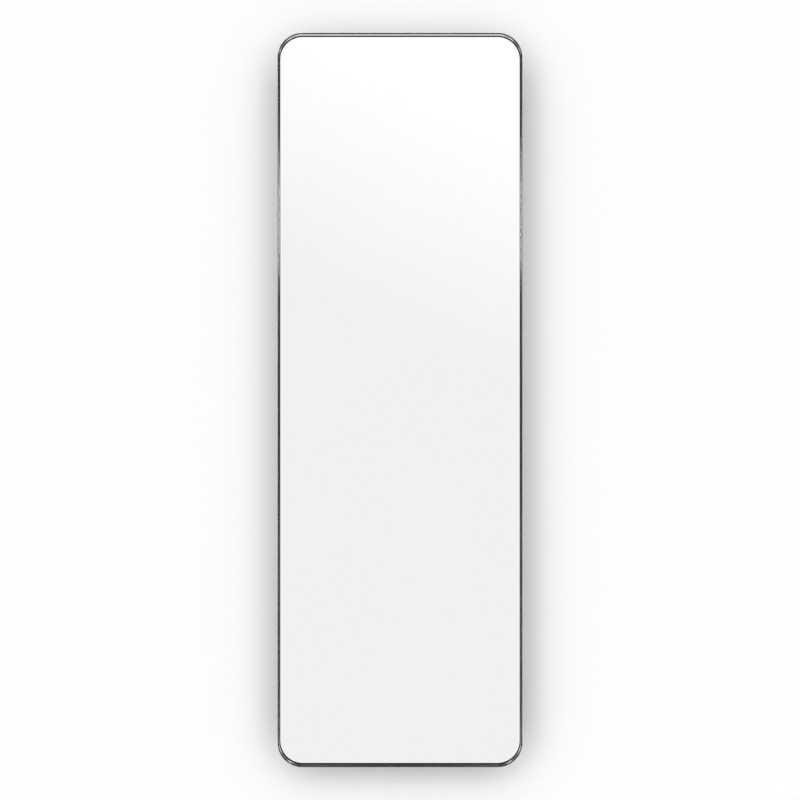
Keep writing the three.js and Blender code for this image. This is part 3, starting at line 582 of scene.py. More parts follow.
# Black lacquered hardboard: pressed fibres under a thin coat, with small flecks.
HARDBOARD = Finish(
    "lacquered_hardboard", "dark_board", "#2a2725", "#3a3532", 0.0, 0.66, 0.12, 9.0, 1.1, 0.03,
    stretch=(0.5, 1.0, 1.0),
)
# Zinc plated and blue passivated steel: a cool grey that clouds to straw, rolled along the strip.
ZINC = Finish(
    "zinc_plated_steel", "zinc_plated_steel", "#b3b9c1", "#c2c0b6", 1.0, 0.34, 0.08, 22.0, 0.5, 0.004,
    stretch=(0.08, 1.0, 1.0),
)
# Polyester powder coat on steel: dark grey with the skin of an orange.
POWDER = Finish(
    "powder_coated_steel", "powder_coated_steel", "#2b2d30", "#33353a", 0.0, 0.47, 0.06, 40.0, 1.3, 0.022,
)
# Nickel plated steel: bright, slightly warm, with turning marks.
NICKEL = Finish(
    "nickel_plated_steel", "bright_steel", "#c6c7c5", "#d3d3d0", 1.0, 0.22, 0.06, 8.0, 0.3, 0.002,
)
# Polished bearing steel, for the balls.
BEARING = Finish(
    "polished_bearing_steel", "bright_steel", "#d9dbdd", "#cfd2d5", 1.0, 0.08, 0.03, 3.0, 0.4, 0.0,
)
# Injection moulded black nylon from a spark eroded mould.
NYLON = Finish("moulded_nylon", "black_plastic", "#191a1c", "#222326", 0.0, 0.5, 0.06, 10.0, 0.35, 0.012)
# Natural acetal: milky white, waxy, light goes a little way in.
ACETAL = Finish(
    "natural_acetal", "natural_plastic", "#e6e2d4", "#dcd7c6", 0.0, 0.4, 0.05, 6.0, 0.5, 0.004,
    subsurface=0.25,
)


def finish_piece(
    item: bpy.types.Object,
    finish: Finish,
    body: Body,
    nodes: Sequence[str],
    others: Sequence[Finish] = (),
) -> bpy.types.Object:
    """Brings a piece to metres, dresses it and hands it to the frame.

    Args:
        item: The object, in millimetres and without modifiers.
        finish: Its main finish.
        body: The body that it moves with.
        nodes: The frame nodes that it stands for.
        others: Finishes for further material slots.

    Returns:
        The finished object.
    """
    item.data.polygons.foreach_set("use_smooth", [True] * len(item.data.polygons))
    item.data.set_sharp_from_angle(angle=math.radians(SMOOTH_DEGREES))
    item.modifiers.new("even", "WEIGHTED_NORMAL").keep_sharp = True
    settle(item)
    mesh = item.data
    mesh.transform(Matrix.Scale(MM, 4))
    mesh.materials.clear()
    for each in (finish, *others):
        mesh.materials.append(each.material())
    mesh.update()
    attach(item, body.value)
    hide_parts(*nodes)
    LOG.info("%s: %d faces, on %s", item.name, len(mesh.polygons), body.value)
    return item


def dress_node(node: str, finish: Finish) -> None:
    """Gives a frame node that stays in view its finish.

    Args:
        node: The node's name.
        finish: The finish.
    """
    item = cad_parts[node]
    item.data.materials.clear()
    item.data.materials.append(finish.material())
    LOG.info("%s: dressed as it is", node)


def pressed_piece(
    name: str,
    shape: Solid,
    finish: Finish,
    body: Body,
    cuts: Sequence[Solid] = (),
    joined: Sequence[Solid] = (),
    edge: float = 0.22,
    late: Sequence[Solid] = (),
) -> bpy.types.Object:
    """A piece that stands for the node of its own name: a shape with cuts and softened edges.

    Args:
        name: The node's name. The piece is called the same with _shape behind it.
        shape: The main shape.
        finish: The finish.
        body: The body that it moves with.
        cuts: Solids taken away.
        joined: Solids joined on before the cuts.
        edge: Width of the softened edges in millimetres.
        late: Solids joined on when the edges are softened.

    Returns:
        The finished object.
    """
    item = shape.to_object(name + "_shape")
    if joined:
        combine(item, joined, "UNION")
    if cuts:
        combine(item, cuts, "DIFFERENCE")
    if edge:
        soften(item, edge)
    if late:
        combine(item, late, "UNION")
    return finish_piece(item, finish, body, [name])


# What repeats, by geometry nodes


@dataclass(frozen=True)
class Scatter:
    """A geometry node tree that puts one shape on each point of a mesh."""

    name: str
    inputs: Mapping[str, float]

    def tree(self, finish: Finish) -> bpy.types.NodeTree:
        """The tree, with a named input for each size.

        Args:
            finish: The finish that it sets.

        Returns:
            The node tree.
        """
        made = bpy.data.node_groups.new(self.name, "GeometryNodeTree")
        made.interface.new_socket("Geometry", in_out="INPUT", socket_type="NodeSocketGeometry")
        for label, value in self.inputs.items():
            socket = made.interface.new_socket(label, in_out="INPUT", socket_type="NodeSocketFloat")
            socket.default_value = value
        made.interface.new_socket("Geometry", in_out="OUTPUT", socket_type="NodeSocketGeometry")
        start = add_node(made, "NodeGroupInput")
        shape = self.shape(made, start)
        spread = add_node(
            made,
            "GeometryNodeInstanceOnPoints",
            {"Points": start.outputs["Geometry"], "Instance": shape},
        )
        plain = add_node(made, "GeometryNodeRealizeInstances", {"Geometry": spread.outputs["Instances"]})
        dressed = add_node(made, "GeometryNodeSetMaterial", {"Geometry": plain.outputs["Geometry"]})
        dressed.inputs["Material"].default_value = finish.material()
        add_node(made, "NodeGroupOutput", {"Geometry": dressed.outputs["Geometry"]})
        return made

    def shape(self, tree: bpy.types.NodeTree, start: bpy.types.Node) -> bpy.types.NodeSocket:
        """The nodes of the shape that repeats.

        Args:
            tree: The tree that gets the nodes.
            start: The tree's input node.

        Returns:
            The socket with the shape, about its own origin.
        """
        raise NotImplementedError

    def place(
        self,
        name: str,
        points: Sequence[Point3],
        sizes: Mapping[str, float],
        finish: Finish,
        body: Body,
        nodes: Sequence[str],
    ) -> bpy.types.Object:
        """Makes one piece with the shape on every point.

        Args:
            name: The piece's name.
            points: Where the shapes go, in millimetres.
            sizes: Values of the named inputs, in millimetres.
            finish: The finish.
            body: The body that it moves with.
            nodes: The frame nodes that it stands for.

        Returns:
            The finished object.
        """
        mesh = bpy.data.meshes.new(name)
        mesh.from_pydata(list(points), [], [])
        item = placed(name, mesh)
        tree = self.tree(finish)
        change = item.modifiers.new("repeat", "NODES")
        change.node_group = tree
        for entry in tree.interface.items_tree:
            if entry.in_out == "INPUT" and entry.name in sizes:
                change[entry.identifier] = float(sizes[entry.name])
        settle(item)
        return finish_piece(item, finish, body, nodes)


def math_of(
    tree: bpy.types.NodeTree, operation: str, first: Value, second: Value = 0.0
) -> bpy.types.NodeSocket:
    """The result of a sum on two values.

    Args:
        tree: The tree that gets the node.
        operation: The sum, by Blender's name.
        first: First value or socket.
        second: Second value or socket.

    Returns:
        The socket with the result.
    """
    return add_node(tree, "ShaderNodeMath", {0: first, 1: second}, operation=operation).outputs[0]


@dataclass(frozen=True)
class ScrewSize:
    """The radii of a pan-head screw's shank and head, and the height of its head, in millimetres."""

    shank: float
    head: float
    height: float


MACHINE_SCREW = ScrewSize(2.5, 4.7, 2.6)
RAIL_SCREW = ScrewSize(1.7, 3.2, 1.9)


@dataclass(frozen=True)
class PanHeads(Scatter):
    """Pan-head screws along Y with a cross recess. A head side of 1 faces +Y and -1 faces -Y."""

    name: str = "pan_head_screws"
    inputs: Mapping[str, float] = field(
        default_factory=lambda: {
            "Head Radius": MACHINE_SCREW.head,
            "Head Height": MACHINE_SCREW.height,
            "Shank Radius": MACHINE_SCREW.shank,
            "Length": 6.0,
            "Head Side": 1.0,
        }
    )
    wall_share: float = 0.62
    crown_share: float = 0.38
    bite_share: float = 0.2
    blade_length_share: float = 1.05
    blade_width_share: float = 0.22
    blade_rise_share: float = 0.95

    def shape(self, tree: bpy.types.NodeTree, start: bpy.types.Node) -> bpy.types.NodeSocket:
        """A domed head with its cross recess, and a shank below it.

        Args:
            tree: The tree that gets the nodes.
            start: The tree's input node.

        Returns:
            The socket with the screw, whose seat is at its origin.
        """
        radius, height = start.outputs["Head Radius"], start.outputs["Head Height"]
        wall = math_of(tree, "MULTIPLY", height, self.wall_share)
        head = add_node(
            tree,
            "GeometryNodeMeshCylinder",
            {"Vertices": 36, "Side Segments": 1, "Fill Segments": 7, "Radius": radius, "Depth": wall},
        )
        spot = add_node(tree, "GeometryNodeInputPosition")
        parts = add_node(tree, "ShaderNodeSeparateXYZ", {0: spot.outputs["Position"]})
        across = math_of(
            tree,
            "ADD",
            math_of(tree, "MULTIPLY", parts.outputs["X"], parts.outputs["X"]),
            math_of(tree, "MULTIPLY", parts.outputs["Y"], parts.outputs["Y"]),
        )
        share = math_of(tree, "DIVIDE", across, math_of(tree, "MULTIPLY", radius, radius))
        crown = math_of(
            tree,
            "MULTIPLY",
            math_of(tree, "SUBTRACT", 1.0, share),
            math_of(tree, "MULTIPLY", height, self.crown_share),
        )
        top = math_of(tree, "GREATER_THAN", parts.outputs["Z"], 0.0)
        lift = math_of(tree, "MULTIPLY", crown, top)
        raised = add_node(
            tree,
            "GeometryNodeSetPosition",
            {
                "Geometry": head.outputs["Mesh"],
                "Offset": add_node(tree, "ShaderNodeCombineXYZ", {2: lift}).outputs[0],
            },
        )
        seated = add_node(
            tree,
            "GeometryNodeTransform",
            {
                "Geometry": raised.outputs["Geometry"],
                "Translation": add_node(
                    tree, "ShaderNodeCombineXYZ", {2: math_of(tree, "MULTIPLY", wall, 0.5)}
                ).outputs[0],
            },
        )
        length = start.outputs["Length"]
        bite = math_of(tree, "MULTIPLY", height, self.bite_share)
        shank = add_node(
            tree,
            "GeometryNodeMeshCylinder",
            {
                "Vertices": 28,
                "Radius": start.outputs["Shank Radius"],
                "Depth": math_of(tree, "ADD", length, bite),
            },
        )
        sunk = add_node(
            tree,
            "GeometryNodeTransform",
            {
                "Geometry": shank.outputs["Mesh"],
                "Translation": add_node(
                    tree,
                    "ShaderNodeCombineXYZ",
                    {2: math_of(tree, "MULTIPLY", math_of(tree, "SUBTRACT", bite, length), 0.5)},
                ).outputs[0],
            },
        )
        rise = math_of(tree, "MULTIPLY", height, self.blade_rise_share)
        blades = []
        for turn in (0.0, 90.0):
            bar = add_node(
                tree,
                "GeometryNodeMeshCube",
                {
                    "Size": add_node(
                        tree,
                        "ShaderNodeCombineXYZ",
                        {
                            0: math_of(tree, "MULTIPLY", radius, self.blade_length_share),
                            1: math_of(tree, "MULTIPLY", radius, self.blade_width_share),
                            2: height,
                        },
                    ).outputs[0]
                },
            )
            blades.append(
                add_node(
                    tree,
                    "GeometryNodeTransform",
                    {
                        "Geometry": bar.outputs["Mesh"],
                        "Translation": add_node(tree, "ShaderNodeCombineXYZ", {2: rise}).outputs[0],
                        "Rotation": (0.0, 0.0, math.radians(turn)),
                    },
                )
            )
        whole = add_node(tree, "GeometryNodeMeshBoolean", operation="UNION", solver="EXACT")
        tree.links.new(seated.outputs["Geometry"], whole.inputs["Mesh 2"])
        tree.links.new(sunk.outputs["Geometry"], whole.inputs["Mesh 2"])
        cross = add_node(tree, "GeometryNodeMeshBoolean", operation="UNION", solver="EXACT")
        for blade in blades:
            tree.links.new(blade.outputs["Geometry"], cross.inputs["Mesh 2"])
        driven = add_node(
            tree,
            "GeometryNodeMeshBoolean",
            {"Mesh 1": whole.outputs["Mesh"]},
            operation="DIFFERENCE",
            solver="EXACT",
        )
        tree.links.new(cross.outputs["Mesh"], driven.inputs["Mesh 2"])
        quarter = math_of(tree, "MULTIPLY", start.outputs["Head Side"], -math.pi / 2)
        turned_over = add_node(
            tree,
            "GeometryNodeTransform",
            {
                "Geometry": driven.outputs["Mesh"],
                "Rotation": add_node(tree, "ShaderNodeCombineXYZ", {0: quarter}).outputs[0],
            },
        )
        return turned_over.outputs["Geometry"]


@dataclass(frozen=True)
class Balls(Scatter):
    """Bearing balls."""

    name: str = "bearing_balls"
    inputs: Mapping[str, float] = field(default_factory=lambda: {"Radius": 2.0})

    def shape(self, tree: bpy.types.NodeTree, start: bpy.types.Node) -> bpy.types.NodeSocket:
        """A ball about its origin."""
        ball = add_node(
            tree,
            "GeometryNodeMeshUVSphere",
            {"Segments": 20, "Rings": 12, "Radius": start.outputs["Radius"]},
        )
        return ball.outputs["Mesh"]


# Sub-assemblies


@dataclass
class MirrorPanel:
    """The bent frame extrusion with the mirror glass, its gasket, film and backing board."""

    corner_radius: float = 35.0
    wall: float = 1.8
    ledge_width: float = 10.2
    ledge_thickness: float = 1.5
    rear_lip: float = 1.6
    rear_lip_thickness: float = 1.2
    front_round: float = 0.35
    seam: float = 0.03  # closed to a hairline, where the solids leave 0.3
    gasket_gap: float = 0.2
    gasket_wall: float = 0.3
    gasket_foot: float = 8.0
    gasket_foot_thickness: float = 1.0
    gasket_round: float = 0.2
    glass_arris: float = 0.35
    corner_steps: int = 40

    def __post_init__(self) -> None:
        """Reads the boxes of the frame, the glass and the gasket, and the depths that follow from them."""
        self.low, self.high = box_mm("mirror_frame")
        self.front = self.low.y
        self.depth = self.high.y - self.low.y
        self.glass_low, self.glass_high = box_mm("mirror_glass")
        self.gasket_low, self.gasket_high = box_mm("glazing_gasket")
        self.ledge_front = self.gasket_high.y + self.gasket_gap - self.front
        self.recess = self.gasket_low.y - self.front

    def stations(self, seam: float) -> list[tuple[Point2, Point2, float]]:
        """Stations round the frame: an origin, an outward direction and the outer edge's distance from it.

        Args:
            seam: Width of the gap at the middle of the lower side, or 0 for a closed ring.

        Returns:
            The stations, from the right of the seam once round to its left.
        """
        half_width, half_height = self.high.x, self.high.z
        radius = self.corner_radius
        made: list[tuple[Point2, Point2, float]] = []
        if seam:
            made.append(((seam / 2, 0.0), (0.0, -1.0), half_height))
        corners = [(1, -1, -90), (1, 1, 0), (-1, 1, 90), (-1, -1, 180)]
        for side, end, start in corners:
            origin = (side * (half_width - radius), end * (half_height - radius))
            for i in range(self.corner_steps + 1):
                angle = math.radians(start + 90 * i / self.corner_steps)
                made.append((origin, (math.cos(angle), math.sin(angle)), radius))
        if seam:
            made.append(((-seam / 2, 0.0), (0.0, -1.0), half_height))
        return made

    def swept(self, name: str, profile: Sequence[Point2], seam: float = 0.0) -> bpy.types.Object:
        """A closed profile in (inset, depth) carried round the frame, with a UV map in metres along it.

        Args:
            name: The object's name.
            profile: The profile's points.
            seam: Width of the seam, or 0.

        Returns:
            The object, in millimetres.
        """
        stations = self.stations(seam)
        count, rows = len(profile), len(stations)
        points: list[Point3] = []
        for origin, outward, reach in stations:
            for inset, depth in profile:
                out = reach - inset
                points.append(
                    (origin[0] + outward[0] * out, self.front + depth, origin[1] + outward[1] * out)
                )
        lengths = [0.0]
        for i in range(rows):
            here, there = points[i * count], points[((i + 1) % rows) * count]
            lengths.append(lengths[-1] + (Vector(there) - Vector(here)).length * MM)
        widths = [0.0]
        for j in range(count):
            a, b = Vector(profile[j]), Vector(profile[(j + 1) % count])
            widths.append(widths[-1] + (b - a).length * MM)
        faces: list[tuple[int, ...]] = []
        maps: list[Point2] = []
        for i in range(rows - 1 if seam else rows):
            for j in range(count):
                k, n = (j + 1) % count, (i + 1) % rows
                faces.append((i * count + j, i * count + k, n * count + k, n * count + j))
                maps += [
                    (lengths[i], widths[j]),
                    (lengths[i], widths[j + 1]),
                    (lengths[i + 1], widths[j + 1]),
                    (lengths[i + 1], widths[j]),
                ]
        if seam:
            faces.append(tuple(range(count - 1, -1, -1)))
            faces.append(tuple((rows - 1) * count + j for j in range(count)))
            maps += [(0.0, 0.0)] * (2 * count)
        mesh = bpy.data.meshes.new(name)
        mesh.from_pydata(points, [], faces)
        layer = mesh.uv_layers.new(name="along")
        layer.data.foreach_set("uv", [value for pair in maps for value in pair])
        face_outwards(mesh)
        return placed(name, mesh)

    def plate(self, name: str, edge: Sequence[Point2]) -> bpy.types.Object:
        """A plate that fills the frame, with an edge profile in (inset, depth) from front to back.

        Args:
            name: The object's name.
            edge: The edge's points.

        Returns:
            The object, in millimetres. Its front face has material 0, its edge 1 and its back 2.
        """
        stations = self.stations(0.0)
        count, rows = len(edge), len(stations)
        points = [
            (o[0] + n[0] * (r - inset), self.front + depth, o[1] + n[1] * (r - inset))
            for o, n, r in stations
            for inset, depth in edge
        ]
        faces: list[tuple[int, ...]] = [tuple(i * count for i in range(rows))]
        faces.append(tuple(i * count + count - 1 for i in range(rows - 1, -1, -1)))
        for i in range(rows):
            n = (i + 1) % rows
            for j in range(count - 1):
                faces.append((i * count + j, i * count + j + 1, n * count + j + 1, n * count + j))
        item = Solid(points, faces).to_object(name)
        for face in item.data.polygons:
            face.material_index = 0 if face.normal.y < -FACING else 2 if face.normal.y > FACING else 1
        return item

    def frame_profile(self) -> list[Point2]:
        """The extrusion's section in (inset, depth), with its drawn edges rounded."""
        front, rear = self.ledge_front, self.depth
        ledge = self.wall + self.ledge_width
        lip = self.wall + self.rear_lip
        corners = [
            (0.0, 0.0),
            (self.wall, 0.0),
            (self.wall, front),
            (ledge, front),
            (ledge, front + self.ledge_thickness),
            (self.wall, front + self.ledge_thickness),
            (self.wall, rear - self.rear_lip_thickness),
            (lip, rear - self.rear_lip_thickness),
            (lip, rear),
            (0.0, rear),
        ]
        return rounded(corners, self.front_round, steps=4)

    def gasket_profile(self) -> list[Point2]:
        """The gasket's section in (inset, depth): a wall beside the glass and a foot behind it."""
        edge = self.wall + self.gasket_gap
        back = self.gasket_high.y - self.front
        foot = back - self.gasket_foot_thickness
        corners = [
            (edge, self.recess),
            (edge + self.gasket_wall, self.recess),
            (edge + self.gasket_wall, foot),
            (edge + self.gasket_foot, foot),
            (edge + self.gasket_foot, back),
            (edge, back),
        ]
        return rounded(corners, self.gasket_round, steps=3)

    def build(self) -> None:
        """Makes and dresses the panel's pieces."""
        bar = self.swept("bent_frame_extrusion", self.frame_profile(), self.seam)
        finish_piece(bar, ANODISED, Body.MIRROR, ["mirror_frame"])
        bar.visible_glossy = False  # the glass in the photograph shows nothing of its frame
        seal = self.swept("gasket_strip", self.gasket_profile())
        finish_piece(seal, RUBBER, Body.MIRROR, ["glazing_gasket"])
        inset = self.glass_low.x - self.low.x
        front = self.glass_low.y - self.front
        back = self.glass_high.y - self.front
        arris = self.glass_arris
        edge = [
            (inset + arris, front),
            (inset, front + arris),
            (inset, back - arris),
            (inset + arris, back),
        ]
        glass = self.plate("silvered_plate", edge)
        finish_piece(glass, SILVERED, Body.MIRROR, ["mirror_glass"], (GLASS_EDGE, BACKING_PAINT))
        dress_node("safety_film", FILM)
        dress_node("backing_board", HARDBOARD)


@dataclass
class BackFrame:
    """The cross rails, the hinge spine on them, the frame joiner and their screws."""

    rail_thickness: float = 1.5
    rail_foot: float = 17.0
    rail_slope: float = 8.0
    rail_bend: float = 3.0
    window_height: float = 20.0
    window_bar: float = 16.0
    window_radius: float = 8.0
    window_catch_margin: float = 9.0
    window_spine_margin: float = 16.0
    spine_bend: float = 2.0
    lightening_radius: float = 9.0
    lightening_first: float = 215.0
    lightening_pitch: float = 55.0
    lightening_count: int = 2
    notch_margin: float = 2.0

    def __post_init__(self) -> None:
        """Reads the places of the spine and of the catch that the rails' windows keep clear of."""
        self.spine_low, self.spine_high = box_mm("hinge_spine")
        self.spine_x, _ = middle_of("hinge_spine")
        _, self.catch_high = box_mm("catch_housing")

    def rail(self, level: str) -> None:
        """One cross rail, with rounded bends, windows and screw holes.

        Args:
            level: upper, middle or lower.
        """
        low, high = box_mm(f"{level}_cross_rail")
        middle = (low.z + high.z) / 2
        foot_y = low.y + self.rail_thickness / 2
        back_y = high.y - self.rail_thickness / 2
        start = high.x - self.rail_foot
        half = [(start - self.rail_slope, back_y), (start, foot_y), (high.x, foot_y)]
        corners = [(-x, y) for x, y in reversed(half)] + half
        line = rounded(corners, self.rail_bend, steps=6, closed=False)
        strap = prism(sheet_outline(line, self.rail_thickness), Along.Z, low.z, high.z)
        front, rear = low.y - OVERRUN, high.y + OVERRUN
        left = self.catch_high.x + self.window_catch_margin
        right = self.spine_low.x - self.window_spine_margin
        width = (right - left - self.window_bar) / 2
        cuts = []
        for x in (left, right - width):
            outline = rounded_rectangle(
                (x, middle - self.window_height / 2),
                (x + width, middle + self.window_height / 2),
                self.window_radius,
            )
            cuts.append(prism(outline, Along.Y, front, rear))
        for side in RAIL_SIDES:
            x, z = middle_of(f"{level}_rail_{side}_screw")
            cuts.append(drill(x, z, RAIL_SCREW.shank + FIT_GAP, front, rear))
        cuts.append(drill(self.spine_x, middle, MACHINE_SCREW.shank + FIT_GAP, front, rear))
        pressed_piece(f"{level}_cross_rail", strap, ZINC, Body.MIRROR, cuts)

    def spine(self) -> None:
        """The hinge spine: a channel with lightening holes, screw holes and two notches."""
        low, high = self.spine_low, self.spine_high
        web = low.y + SPINE_SHEET / 2
        edge = (high.x - low.x - SPINE_SHEET) / 2
        half = [
            *arc(edge - self.spine_bend, self.spine_bend, self.spine_bend, -90, 0, 7),
            (edge, high.y - web),
        ]
        line = [(-x, y) for x, y in reversed(half)] + half
        moved = [(x + self.spine_x, y + web) for x, y in line]
        channel = prism(sheet_outline(moved, SPINE_SHEET), Along.Z, low.z, high.z)
        front, rear = low.y - OVERRUN, low.y + SPINE_SHEET + OVERRUN
        cuts = []
        clear = MACHINE_SCREW.shank + FIT_GAP
        for level, end in ((Level.UPPER, 1), (Level.LOWER, -1)):
            for i in range(self.lightening_count):
                z = end * (self.lightening_first + i * self.lightening_pitch)
                cuts.append(drill(self.spine_x, z, self.lightening_radius, front, rear))
            for place in SCREW_PLACES:
                x, z = middle_of(f"{level.value}_bracket_{place}_screw")
                cuts.append(drill(x, z, clear, front, rear))
            washer_low, washer_high = box_mm(f"{level.value}_friction_washer")
            ear = (washer_high.z if end > 0 else -washer_low.z) + FIT_GAP
            near, far = ear - self.notch_margin, ear + BRACKET_SHEET + self.notch_margin
            side = high.x - SPINE_SHEET - self.spine_bend
            cuts.append(
                block(
                    (side, low.y + SPINE_SHEET, min(end * near, end * far)),
                    (high.x + OVERRUN, high.y + OVERRUN, max(end * near, end * far)),
                )
            )
        for level in RAIL_LEVELS:
            x, z = middle_of(f"{level}_spine_screw")
            cuts.append(drill(x, z, clear, front, rear))
        pressed_piece("hinge_spine", channel, POWDER, Body.MIRROR, cuts)

    def build(self) -> None:
        """Makes and dresses the rails, the spine, the joiner and their screws."""
        for level in RAIL_LEVELS:
            self.rail(level)
        self.spine()
        low, high = box_mm("frame_joiner")
        pressed_piece("frame_joiner", block(low, high), ZINC, Body.MIRROR, edge=0.5)
        rails = [f"{level}_rail_{side}_screw" for level in RAIL_LEVELS for side in RAIL_SIDES]
        spine = [f"{level}_spine_screw" for level in RAIL_LEVELS]
        brackets = [f"{level.value}_bracket_{place}_screw" for level in Level for place in SCREW_PLACES]
        place_screws("rail_end_screws", rails, Body.MIRROR, 1, RAIL_SCREW)
        place_screws("spine_screws", spine, Body.MIRROR, 1, MACHINE_SCREW)
        place_screws("bracket_screws", brackets, Body.MIRROR, 1, MACHINE_SCREW)


def place_screws(name: str, nodes: Sequence[str], body: Body, head_side: int, size: ScrewSize) -> None:
    """Puts pan-head screws where the frame has them, as one piece.

    Args:
        name: The piece's name.
        nodes: The screws' nodes, all of one length.
        body: The body that they move with.
        head_side: 1 where the heads face +Y, -1 where they face -Y.
        size: The screws' size.
    """
    points = []
    length = 0.0
    for node in nodes:
        low, high = box_mm(node)
        x, z = middle_of(node)
        crown = high.y if head_side > 0 else low.y
        points.append((x, crown - head_side * size.height, z))
        length = high.y - low.y - size.height
    sizes = {
        "Head Radius": size.head,
        "Head Height": size.height,
        "Shank Radius": size.shank,
        "Length": length,
        "Head Side": head_side,
    }
    PanHeads().place(name, points, sizes, NICKEL, body, nodes)


